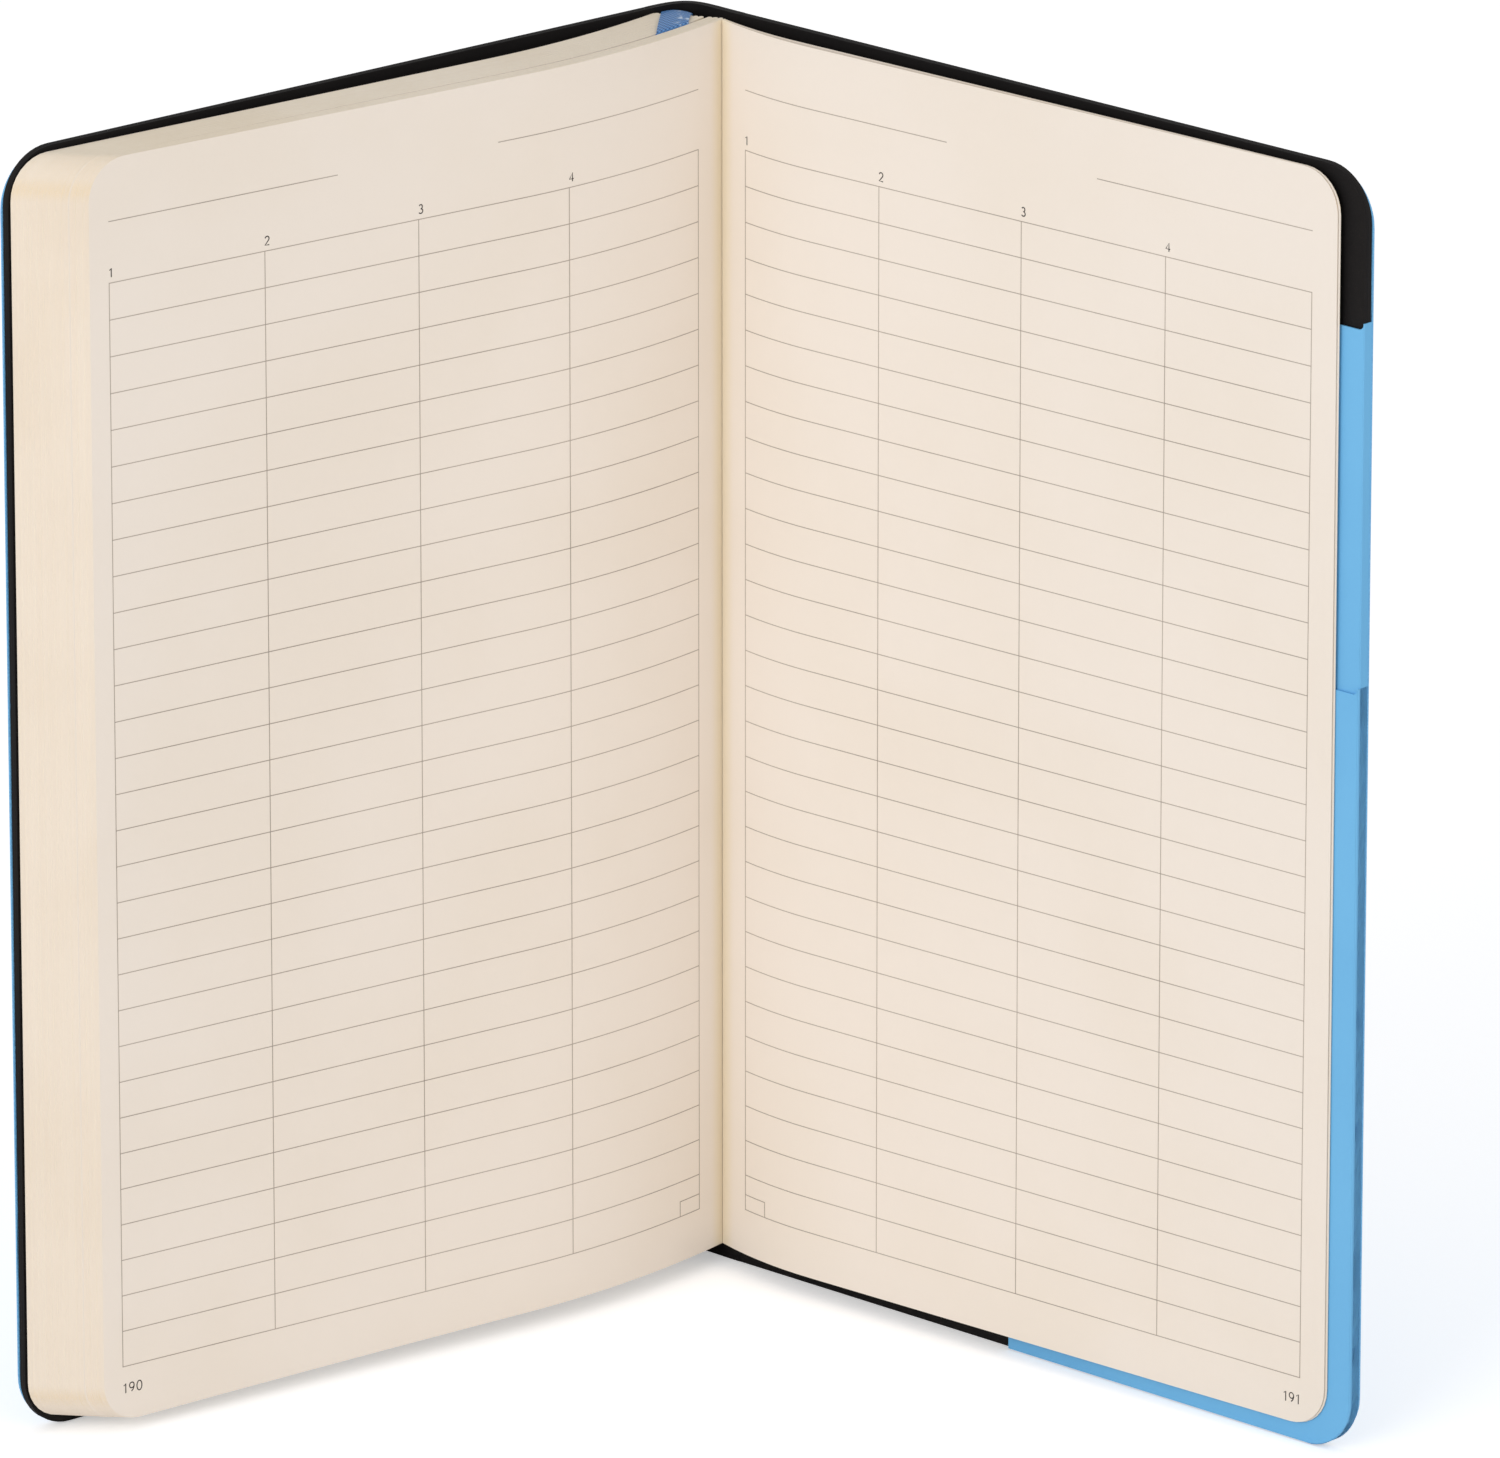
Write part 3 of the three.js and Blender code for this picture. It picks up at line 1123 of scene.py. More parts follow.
@dataclass
class Block:
    """The sewn block: sections of folded sheets, and the end leaves.

    The last leaf starts tipped on the last section's page at the fold, and meets the straight run
    that the frame's end leaves have.
    """

    finishes: Finishes
    front_angle: float = FRONT_ANGLE
    back_angle: float = BACK_ANGLE
    leaf_width: float = 127.3
    leaf_height: float = 208.0
    leaf_tail: float = 3.2
    corner_radius: float = 6.8
    sheet_pitch: float = 0.0903
    sheet_thickness: float = 0.089
    sheets_per_section: int = 4
    section_count: int = 12
    first_bulge: float = 5.0
    front_bulge: float = 7.5
    front_bend_radius: float = 140.0
    first_lead: float = 1.4
    back_bulge: float = 4.3
    flyleaf_bulge: float = 3.2
    back_bend_radius: float = 70.0
    sections_before_ribbon: int = 9
    ribbon_slot: float = 0.41
    section_play: float = 0.05
    fore_edge_play: float = 0.035
    end_leaf_thickness: float = 0.12
    flyleaf_gap: float = 0.16
    front_flyleaf_offset: float = 0.564
    back_joint_gap: float = 0.6
    pocket_stack: float = 0.8
    tip_distance: float = 0.2
    tip_gap: float = 0.02
    tip_bend_end: float = 9.0
    last_leaf_trim: float = 0.5
    back_flyleaf_lead: float = -0.3
    trim_unevenness: float = 0.025
    tail_sag: float = 1.5
    bend_end: float = 56.0
    tangent_step: float = 0.01
    bend_stations: int = 19
    flat_stations: int = 5
    corner_stations: int = 9
    turn_stations: int = 7
    seed: int = 7

    def __post_init__(self) -> None:
        """Starts the random numbers that make the leaves differ."""
        self.random = np.random.default_rng(self.seed)

    def fan(self, taper: float) -> float:
        """Turn in degrees that closes a gap at the fore-edge."""
        return math.degrees(math.asin(taper / self.leaf_width))

    @property
    def page_offset(self) -> float:
        """Offset of a section's outer page from the section's middle."""
        return self.sheets_per_section * self.sheet_pitch

    def section_way(self, index: int) -> LeafWay:
        """The way of a section, from 0, next to the front cover, to the last one.

        The sections stand off the cover where they bend and close on it at the fore-edge. Those
        after the ribbon close its slot there too.

        Args:
            index: Number of the section, from 0.

        Returns:
            The way of its middle.
        """
        share = index / (self.section_count - 1)
        bulge = self.first_bulge + share * (self.front_bulge - self.first_bulge)
        taper = bulge + index * (self.section_play - self.fore_edge_play)
        if index >= self.sections_before_ribbon:
            taper += self.ribbon_slot
        return LeafWay(
            joint_place(f"{section_name(index)}_fold"),
            180 + self.front_angle - self.fan(taper),
            bulge,
            self.front_bend_radius,
            1,
        )

    def section_width(self, index: int) -> float:
        """Width of a section's leaves. The first ones reach a little further, as the spine leans."""
        share = index / (self.section_count - 1)
        return self.leaf_width + (1 - share) * self.first_lead

    def last_way(self) -> LeafWay:
        """The way of the last section."""
        return self.section_way(self.section_count - 1)

    def end_way(self, bulge: float) -> tuple[LeafWay, float]:
        """The way of an end leaf.

        It closes on the pocket at the fore-edge, where two flyleaf gaps, the flyleaf and half of
        the last leaf are left between the two.

        Args:
            bulge: How far it stands off its straight run.

        Returns:
            The way, and how far it starts before the fold.
        """
        offset = self.page_offset + self.end_leaf_thickness / 2 + self.tip_gap
        tip = self.last_way().at(np.array([self.tip_distance]), offset)[0]
        fore_gap = self.pocket_stack + 2 * self.flyleaf_gap + 1.5 * self.end_leaf_thickness
        angle = -self.back_angle + self.fan(self.back_joint_gap + bulge - fore_gap)
        from_fold = tip - joint_place("end_leaves_fold")
        lead = -float(from_fold @ heading(angle))
        aside = float(from_fold @ left_of(heading(angle)))
        way = LeafWay(tip, angle, bulge + aside, self.back_bend_radius, -1)
        return way, lead

    def stations(self, width: float) -> np.ndarray:
        """Stations along a leaf, close where it bends and at its round corners.

        Args:
            width: Width of the leaf.

        Returns:
            Distances from the fold.
        """
        bend = np.linspace(0, self.bend_end, self.bend_stations)
        middle = np.linspace(self.bend_end, width - self.corner_radius, self.flat_stations)[1:]
        turn = np.linspace(0, math.pi / 2, self.corner_stations)[1:]
        corner = width - self.corner_radius + self.corner_radius * np.sin(turn)
        return np.concatenate([bend, middle, corner])

    def leaf_range(self, reach: np.ndarray, width: float) -> tuple[np.ndarray, np.ndarray]:
        """Lowest and highest height of a leaf at each distance from its fold."""
        head = self.leaf_tail + self.leaf_height
        return corner_range(reach, width, self.corner_radius, self.leaf_tail, head)

    def single_leaf(self, way: LeafWay, offset: float, width: float) -> Surface:
        """A single leaf.

        Args:
            way: The way that it follows.
            offset: How far to the left of that way it lies.
            width: Its width before it is trimmed unevenly.

        Returns:
            The closed leaf.
        """
        width = width + self.random.uniform(-1, 1) * self.trim_unevenness
        reach = self.stations(width)
        low, high = self.leaf_range(reach, width)
        leaf = raise_sheet(way.path(reach, offset), self.end_leaf_thickness, low, high)
        leaf.values["leaf_tone"] = np.full(len(leaf.points), self.random.uniform(0, 1))
        return leaf

    def spread(self, index: int, reach: np.ndarray) -> np.ndarray:
        """How far the leaves of a section spread to fill the room up to the next section.

        It is the distance to the neighbour's way along the normal, less the play, as a share of the
        section's own paper. The last section, which carries the printed page, stays close.

        Args:
            index: Number of the section, from 0.
            reach: Distances from the fold.

        Returns:
            The spread at each distance, 1 or more.
        """
        if index == self.section_count - 1:
            return np.ones_like(reach)
        step = -1 if index + 1 == self.sections_before_ribbon else 1
        way, other = self.section_way(index), self.section_way(index + step)
        middle = way.at(reach, 0.0)
        normal = way.at(reach, 1.0) - middle
        room = np.abs(((other.at(reach, 0.0) - middle) * normal).sum(axis=1))
        return np.maximum((room - self.fore_edge_play) / (2 * self.page_offset), 1.0)

    def fore_edge_slant(self, index: int) -> float:
        """How much further a leaf reaches for each millimetre that it lies nearer to the reader.

        All fore-edges lie on the line D from the first section's to the last one's, so this is the
        share of D along the section's run over its share across it.

        Args:
            index: Number of the section, from 0.

        Returns:
            The slant, in millimetres for each millimetre.
        """
        last = self.section_count - 1
        ends = [self.section_way(i).at(np.array([self.section_width(i)]), 0.0)[0] for i in (0, last)]
        line = ends[1] - ends[0]
        run = heading(self.section_way(index).angle)
        return float(line @ run) / float(line @ left_of(run))

    def fold_arc(self, way: LeafWay, radius: float) -> np.ndarray:
        """The half circle on which a sheet turns round its fold.

        A point is fold + r (n cos u - t sin u), where t is the way's direction at the fold, n is to
        its left, and u runs from 0 to 180 degrees without the two ends.

        Args:
            way: The way of the section.
            radius: Radius r of the half circle.

        Returns:
            Plan points, from the near side of the fold to the far side.
        """
        turn = np.linspace(0, math.pi, self.turn_stations)[1:-1]
        run = way.at(np.array([0.0, self.tangent_step]), 0.0)
        tangent = (run[1] - run[0]) / self.tangent_step
        return (
            way.at(np.array([0.0]), 0.0)
            + radius * np.cos(turn)[:, None] * left_of(tangent)
            - radius * np.sin(turn)[:, None] * tangent
        )

    def folded_sheet(self, index: int, layer: int) -> Surface:
        """A sheet folded round the sheets inside it.

        Its middle runs in from one fore-edge at an offset o, turns round the fold on a half circle
        of radius o, and runs out to the other fore-edge at the offset -o. At the tail it reaches
        lower by the sag times (reach / width)^2.

        Args:
            index: Number of the section, from 0.
            layer: Number of the sheet in it, from 0 for the innermost one.

        Returns:
            The closed sheet.
        """
        way = self.section_way(index)
        offset = (layer + 0.5) * self.sheet_pitch
        shear = np.array([1.0, -1.0]) * self.fore_edge_slant(index) * offset
        uneven = self.random.uniform(-1, 1, 2) * self.trim_unevenness
        widths = self.section_width(index) + shear + uneven
        near, far = self.stations(widths[0]), self.stations(widths[1])
        arc = self.fold_arc(way, offset * self.spread(index, np.zeros(1))[0])
        near_run = way.at(near, offset * self.spread(index, near))
        far_run = way.at(far, -offset * self.spread(index, far))
        points = np.concatenate([near_run[::-1], arc, far_run])
        reach = np.concatenate([near[::-1], np.zeros(len(arc)), far])
        near_low, near_high = self.leaf_range(near, widths[0])
        far_low, far_high = self.leaf_range(far, widths[1])
        tail = np.full(len(arc), self.leaf_tail)
        low = np.concatenate([near_low[::-1], tail, far_low])
        high = np.concatenate([near_high[::-1], tail + self.leaf_height, far_high])
        low = low - self.tail_sag * (reach / self.leaf_width) ** 2
        sheet = raise_sheet(path_through(points, reach), self.sheet_thickness, low, high)
        sheet.values["leaf_tone"] = np.full(len(sheet.points), self.random.uniform(0, 1))
        return sheet

    def build_sections(self) -> None:
        """Makes every section from its folded sheets."""
        for index in range(self.section_count):
            node = section_name(index)
            sheets = [self.folded_sheet(index, layer) for layer in range(self.sheets_per_section)]
            piece = make_piece(
                f"{node}_sheets", joined(sheets), [self.finishes.page, self.finishes.edges]
            )
            smooth_walls(piece)
            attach(piece, node)
            stand_for(piece, node, "paper")

    def build_end_leaves(self) -> None:
        """Makes the front flyleaf, the last leaf and the back flyleaf."""
        last_way, lead = self.end_way(self.back_bulge)
        fly_way, fly_lead = self.end_way(self.flyleaf_bulge)
        behind = self.end_leaf_thickness + self.flyleaf_gap
        leaves = [
            ("front_flyleaf", self.section_way(0), -self.front_flyleaf_offset, self.section_width(0)),
            ("last_leaf", last_way, 0.0, self.leaf_width + lead - self.last_leaf_trim),
            ("back_flyleaf", fly_way, behind, self.leaf_width + fly_lead + self.back_flyleaf_lead),
        ]
        for node, way, offset, width in leaves:
            leaf = self.single_leaf(way, offset, width)
            piece = make_piece(f"{node}_sheet", leaf, [self.finishes.page, self.finishes.edges])
            smooth_walls(piece)
            if node == "front_flyleaf":
                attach(piece, "section_01")
            else:
                ends = way.at(np.array([0.0, self.tip_bend_end]), offset)
                bend_between(piece, ("spine", "end_leaves"), *ends)
            stand_for(piece, node, "paper")

    def build(self) -> None:
        """Makes the whole block."""
        self.build_sections()
        self.build_end_leaves()


DIGIT_WIDTHS = {"0": 0.62, "1": 0.42, "2": 0.58, "3": 0.58, "4": 0.64, "9": 0.6}


@dataclass(frozen=True)
class Numerals:
    """Plain numerals as strokes in a box of height 1, from arcs and straight lines.

    The spacing between digits and their widths are in digit heights.
    """

    spacing: float = 0.24
    arc_points: int = 15

    def arc(self, centre: tuple, radii: tuple, start: float, end: float) -> np.ndarray:
        """Points of an arc: centre + (a cos t, b sin t), t from start to end in degrees."""
        t = np.radians(np.linspace(start, end, self.arc_points))
        return np.stack([centre[0] + radii[0] * np.cos(t), centre[1] + radii[1] * np.sin(t)], axis=1)

    def strokes(self, digit: str) -> list[np.ndarray]:
        """The strokes of a digit.

        Args:
            digit: The digit, one of those that the pages need.

        Returns:
            For each stroke, rows of (x, height).
        """
        shapes = {
            "0": [self.arc((0.31, 0.5), (0.28, 0.48), 90, 450)],
            "1": [np.array([[0.06, 0.78], [0.28, 0.98], [0.28, 0.02]])],
            "2": [np.vstack([self.arc((0.29, 0.72), (0.25, 0.26), 165, -35), [[0.03, 0.03], [0.56, 0.03]]])],
            "3": [
                self.arc((0.27, 0.75), (0.21, 0.23), 150, -90),
                self.arc((0.27, 0.27), (0.26, 0.25), 90, -150),
            ],
            "4": [np.array([[0.44, 0.02], [0.44, 0.97], [0.03, 0.3], [0.6, 0.3]])],
            "9": [
                self.arc((0.3, 0.7), (0.26, 0.28), 0, 360),
                self.arc((-0.02, 0.7), (0.58, 0.68), 0, -62),
            ],
        }
        return shapes[digit]

    def width(self, text: str) -> float:
        """Width of a number in digit heights."""
        return sum(DIGIT_WIDTHS[digit] for digit in text) + self.spacing * (len(text) - 1)

    def line(self, text: str) -> list[np.ndarray]:
        """The strokes of a number, its digits set side by side.

        Args:
            text: The number.

        Returns:
            For each stroke, rows of (x, height).
        """
        made, left = [], 0.0
        for digit in text:
            made += [stroke + np.array([left, 0.0]) for stroke in self.strokes(digit)]
            left += DIGIT_WIDTHS[digit] + self.spacing
        return made


@dataclass(frozen=True)
class Page:
    """A printed page: its way, its surface's offset, and what is printed on it.

    reads is 1 where the reader's right is away from the fold, and -1 where it is towards it.
    """

    name: str
    way: LeafWay
    offset: float
    reads: int
    number: str
    bodies: tuple[str, ...]


@dataclass
class PagePrint:
    """The ruled table on the two facing pages, as thin raised ink.

    The title's place is left bare, and plain numerals stand over the columns.
    """

    finishes: Finishes
    block: Block
    line_width: float = 0.15
    number_stroke: float = 0.19
    lift: float = 0.012
    ink_thickness: float = 0.01
    step: float = 3.0
    row_pitch: float = 6.0
    row_count: int = 30
    column_pitch: float = 29.2
    column_count: int = 4
    inner_margin: float = 6.5
    tail_margin: float = 7.8
    header_rise: float = 10.0
    title_gap: float = 30.6
    box_width: float = 4.9
    box_height: float = 2.6
    heading_height: float = 1.5
    heading_rise: float = 0.9
    folio_height: float = 1.7
    folio_drop: float = 4.6

    def __post_init__(self) -> None:
        """Works out where the table stands."""
        self.bottom = self.block.leaf_tail + self.tail_margin
        self.top = self.bottom + self.row_count * self.row_pitch
        self.columns = self.inner_margin + self.column_pitch * np.arange(self.column_count + 1)

    def ink(self, page: Page, points: np.ndarray, width: float) -> Surface:
        """A printed line on a page.

        The line's edges lie half its width to either side of its points, square to its direction in
        the flat page, and the flat page is then laid along the leaf's way.

        Args:
            page: The page.
            points: Rows of (distance from the fold, height).
            width: Width of the line.

        Returns:
            A thin closed strip on the page.
        """
        tangent = np.gradient(points, axis=0)
        tangent /= np.linalg.norm(tangent, axis=1)[:, None]
        sides = np.array([-0.5, 0.5])
        edges = points[:, None, :] + sides[None, :, None] * width * left_of(tangent)[:, None]
        middle = page.offset + math.copysign(self.lift, page.offset)
        solid = np.empty((2, len(points), 2, 3))
        for layer, side in enumerate(sides):
            solid[layer, ..., :2] = page.way.at(edges[..., 0], middle + side * self.ink_thickness)
            solid[layer, ..., 2] = edges[..., 1]
        return slab(solid, {})

    def level(self, page: Page, start: float, end: float, height: float) -> Surface:
        """A level printed line between two distances from the fold."""
        reach = np.linspace(start, end, max(2, int(abs(end - start) / self.step) + 2))
        return self.ink(page, np.stack([reach, np.full(len(reach), height)], axis=1), self.line_width)

    def upright(self, page: Page, reach: float, low: float, high: float) -> Surface:
        """An upright printed line."""
        return self.ink(page, np.array([[reach, low], [reach, high]]), self.line_width)

    def table(self, page: Page) -> Surface:
        """The ruled table, which ends at a small empty box in its inner tail corner.

        Args:
            page: The page.

        Returns:
            All its printed lines.
        """
        columns, half = self.columns, self.line_width / 2
        box_end = columns[0] + self.box_width
        box_top = self.bottom + self.box_height
        lines = [self.level(page, box_end, columns[-1] + half, self.bottom)]
        lines += [
            self.level(page, columns[0] - half, columns[-1] + half, self.bottom + row * self.row_pitch)
            for row in range(1, self.row_count + 1)
        ]
        lines.append(self.upright(page, columns[0], box_top, self.top))
        lines += [self.upright(page, column, self.bottom, self.top) for column in columns[1:]]
        lines += [
            self.level(page, columns[0] - half, box_end + half, self.bottom),
            self.level(page, columns[0] - half, box_end + half, box_top),
            self.upright(page, columns[0], self.bottom, box_top),
            self.upright(page, box_end, self.bottom, box_top),
        ]
        middle = (columns[0] + columns[-1]) / 2
        for start, end in (
            (columns[0], middle - self.title_gap / 2),
            (middle + self.title_gap / 2, columns[-1]),
        ):
            lines.append(self.level(page, start, end, self.top + self.header_rise))
        return joined(lines)

    def number(self, page: Page, text: str, left: float, base: float, height: float) -> list[Surface]:
        """A number on a page.

        Args:
            page: The page.
            text: The number.
            left: Distance from the fold of its left edge, as the reader sees it.
            base: Height of its foot.
            height: Height of its digits.

        Returns:
            One printed line for each stroke.
        """
        made = []
        for stroke in Numerals().line(text):
            reach = left + page.reads * stroke[:, 0] * height
            points = np.stack([reach, base + stroke[:, 1] * height], axis=1)
            made.append(self.ink(page, points, self.number_stroke))
        return made

    def numbers(self, page: Page) -> Surface:
        """The numerals over the columns, and the page's number under the table's outer corner.

        Args:
            page: The page.

        Returns:
            All their strokes.
        """
        lefts = self.columns[:-1] if page.reads > 0 else self.columns[:0:-1]
        base = self.top + self.heading_rise
        made = []
        for count, left in enumerate(lefts, start=1):
            made += self.number(page, str(count), left, base, self.heading_height)
        folio_left = self.columns[-1]
        if page.reads > 0:
            folio_left -= Numerals().width(page.number) * self.folio_height
        made += self.number(
            page, page.number, folio_left, self.bottom - self.folio_drop, self.folio_height
        )
        return joined(made)

    def build(self) -> None:
        """Prints both facing pages."""
        block = self.block
        end_way, _ = block.end_way(block.back_bulge)
        last_section = section_name(block.section_count - 1)
        pages = [
            Page(
                name="left_page",
                way=block.last_way(),
                offset=block.page_offset,
                reads=-1,
                number="190",
                bodies=(last_section,),
            ),
            Page(
                name="right_page",
                way=end_way,
                offset=-block.end_leaf_thickness / 2,
                reads=1,
                number="191",
                bodies=("spine", "end_leaves"),
            ),
        ]
        for page in pages:
            for label, surface, finish in (
                ("ruling", self.table(page), self.finishes.ruling),
                ("numbers", self.numbers(page), self.finishes.number),
            ):
                piece = make_piece(f"{page.name}_{label}", surface, [finish])
                if len(page.bodies) == 1:
                    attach(piece, page.bodies[0])
                else:
                    ends = page.way.at(np.array([0.0, block.tip_bend_end]), 0.0)
                    bend_between(piece, page.bodies, *ends)
                log.info("%s is printed", piece.name)


@dataclass(frozen=True)
class Layer:
    """A layer of the case.

    offset is from the case's middle out to the layer's own. inset and drop say how far the layer
    stays back at the fore-edge and at head and tail.
    """

    name: str
    slot: str
    finish: bpy.types.Material
    thickness: float
    inset: float
    drop: float
    edge_round: float
    offset: float = 0.0


@dataclass
class Case:
    """The cover: skin, board and lining from fore-edge to fore-edge, in one run over the joints."""

    finishes: Finishes
    front_angle: float = FRONT_ANGLE
    back_angle: float = BACK_ANGLE
    height: float = 212.0
    front_reach: float = 128.5
    back_reach: float = 130.8
    corner_radius: float = 9.0
    thickness: float = 1.65
    joint_setback: float = 1.2
    spine_fullness: float = 8.0
    skin: float = 0.32
    board: float = 0.9
    overhang: float = 0.26
    skin_drop: float = 0.42
    skin_round: float = 0.14
    edge_round: float = 0.12
    rows: int = 24
    joint_stations: int = 7
    flat_stations: int = 20
    corner_stations: int = 13
    arch_stations: int = 41
    arch_bend_stations: int = 6

    def layers(self) -> list[Layer]:
        """The layers from the outside in. The skin's edge is rounded off, a little below the rest.

        Returns:
            Skin, board and lining, each with its own offset.
        """
        looks, inset, rounding = self.finishes, self.overhang, self.edge_round
        lining = self.thickness - self.skin - self.board
        cuts = [
            Layer("skin", "cover_blue", looks.skin, self.skin, 0.0, self.skin_drop, self.skin_round),
            Layer("board", "board_black", looks.board, self.board, inset, 0.0, rounding),
            Layer("liner", "liner_black", looks.lining, lining, inset, 0.0, rounding),
        ]
        outer = self.thickness / 2
        made = []
        for cut in cuts:
            made.append(replace(cut, offset=outer - cut.thickness / 2))
            outer -= cut.thickness
        return made

    def cover_reach(self, width: float, radius: float) -> np.ndarray:
        """Stations along a cover, close at the joint and at the round corners.

        Args:
            width: Distance from the joint to the fore-edge.
            radius: Radius of the corners.

        Returns:
            Distances from the joint.
        """
        turn = np.linspace(0, math.pi / 2, self.corner_stations)[1:]
        bend_end = 2 * self.joint_setback
        return np.concatenate(
            [
                np.linspace(0, bend_end, self.joint_stations),
                np.linspace(bend_end, width - radius, self.flat_stations)[1:],
                width - radius + radius * np.sin(turn),
            ]
        )

    def build_cover(
        self, side: str, full: float, angle: float, outward: int, hinge: str, bodies: tuple
    ) -> None:
        """Makes the three layers of a cover.

        Args:
            side: Front or back.
            full: Distance from the joint's axis to the fore-edge.
            angle: Heading of the cover from its joint, in degrees.
            outward: 1 where the outside lies to the left of that heading, and -1 to its right.
            hinge: Name of the joint.
            bodies: The bodies before and after the joint.
        """
        joint = joint_place(hinge)
        run = heading(angle)
        for layer in self.layers():
            width, radius = full - layer.inset, self.corner_radius - layer.inset
            reach = self.cover_reach(width, radius)
            points = joint + reach[:, None] * run
            path = path_through(points, reach).shifted(outward * layer.offset)
            low, high = corner_range(reach, width, radius, layer.drop, self.height - layer.drop)
            sheet = raise_sheet(path, layer.thickness, low, high, self.rows)
            piece = make_piece(f"{side}_{layer.name}_sheet", sheet, [layer.finish])
            smooth_walls(piece)
            round_edges(piece, layer.edge_round)
            bend_between(piece, bodies, joint, joint + 2 * self.joint_setback * run)
            stand_for(piece, f"{side}_cover_{layer.name}", layer.slot)

    def spine_points(self) -> np.ndarray:
        """Points from the front joint to the back joint over the arched spine.

        A cubic curve (1-t)^3 A + 3 (1-t)^2 t B + 3 (1-t) t^2 C + t^3 D between two short straight
        ends that reach the joints.

        Returns:
            Plan points of the spine's middle.
        """
        front, back = joint_place("front_cover_joint"), joint_place("back_cover_joint")
        front_run, back_run = heading(180 + self.front_angle), heading(-self.back_angle)
        start = front - self.joint_setback * front_run
        end = back - self.joint_setback * back_run
        first = start - self.spine_fullness * front_run
        last = end - self.spine_fullness * back_run
        t = np.linspace(0, 1, self.arch_stations)[:, None]
        curve = (1 - t) ** 3 * start + 3 * (1 - t) ** 2 * t * first
        curve = curve + 3 * (1 - t) * t**2 * last + t**3 * end
        return np.concatenate([[front], curve, [back]])

    def build_spine(self) -> None:
        """Makes the arched spine in two halves.

        No finish of the case reads the reach, so that of a station is its number.
        """
        points = self.spine_points()
        whole = path_through(points, np.arange(len(points), dtype=float))
        middle, bent = len(points) // 2, self.arch_bend_stations
        first_section = section_name(0)
        halves = [
            ("front", slice(0, middle + 1), (first_section, "spine"), points[0], points[bent]),
            ("back", slice(middle, None), ("end_leaves", "spine"), points[-1], points[-1 - bent]),
        ]
        for side, span, bodies, start, end in halves:
            for layer in self.layers():
                full = whole.shifted(layer.offset)
                path = PlanPath(full.points[span], full.normals[span], full.reach[span])
                ends = np.ones(len(path.points))
                low, high = layer.drop * ends, (self.height - layer.drop) * ends
                sheet = raise_sheet(path, layer.thickness, low, high, self.rows)
                piece = make_piece(f"spine_{side}_{layer.name}", sheet, [layer.finish])
                smooth_walls(piece)
                bend_between(piece, bodies, start, end)
                node = "strip" if layer.name == "board" else layer.name
                stand_for(piece, f"spine_{node}", layer.slot)

    def build(self) -> None:
        """Makes the whole case."""
        bodies = (section_name(0), "front_cover")
        angle = 180 + self.front_angle
        self.build_cover("front", self.front_reach, angle, -1, "front_cover_joint", bodies)
        bodies = ("end_leaves", "back_cover")
        self.build_cover("back", self.back_reach, -self.back_angle, 1, "back_cover_joint", bodies)
        self.build_spine()


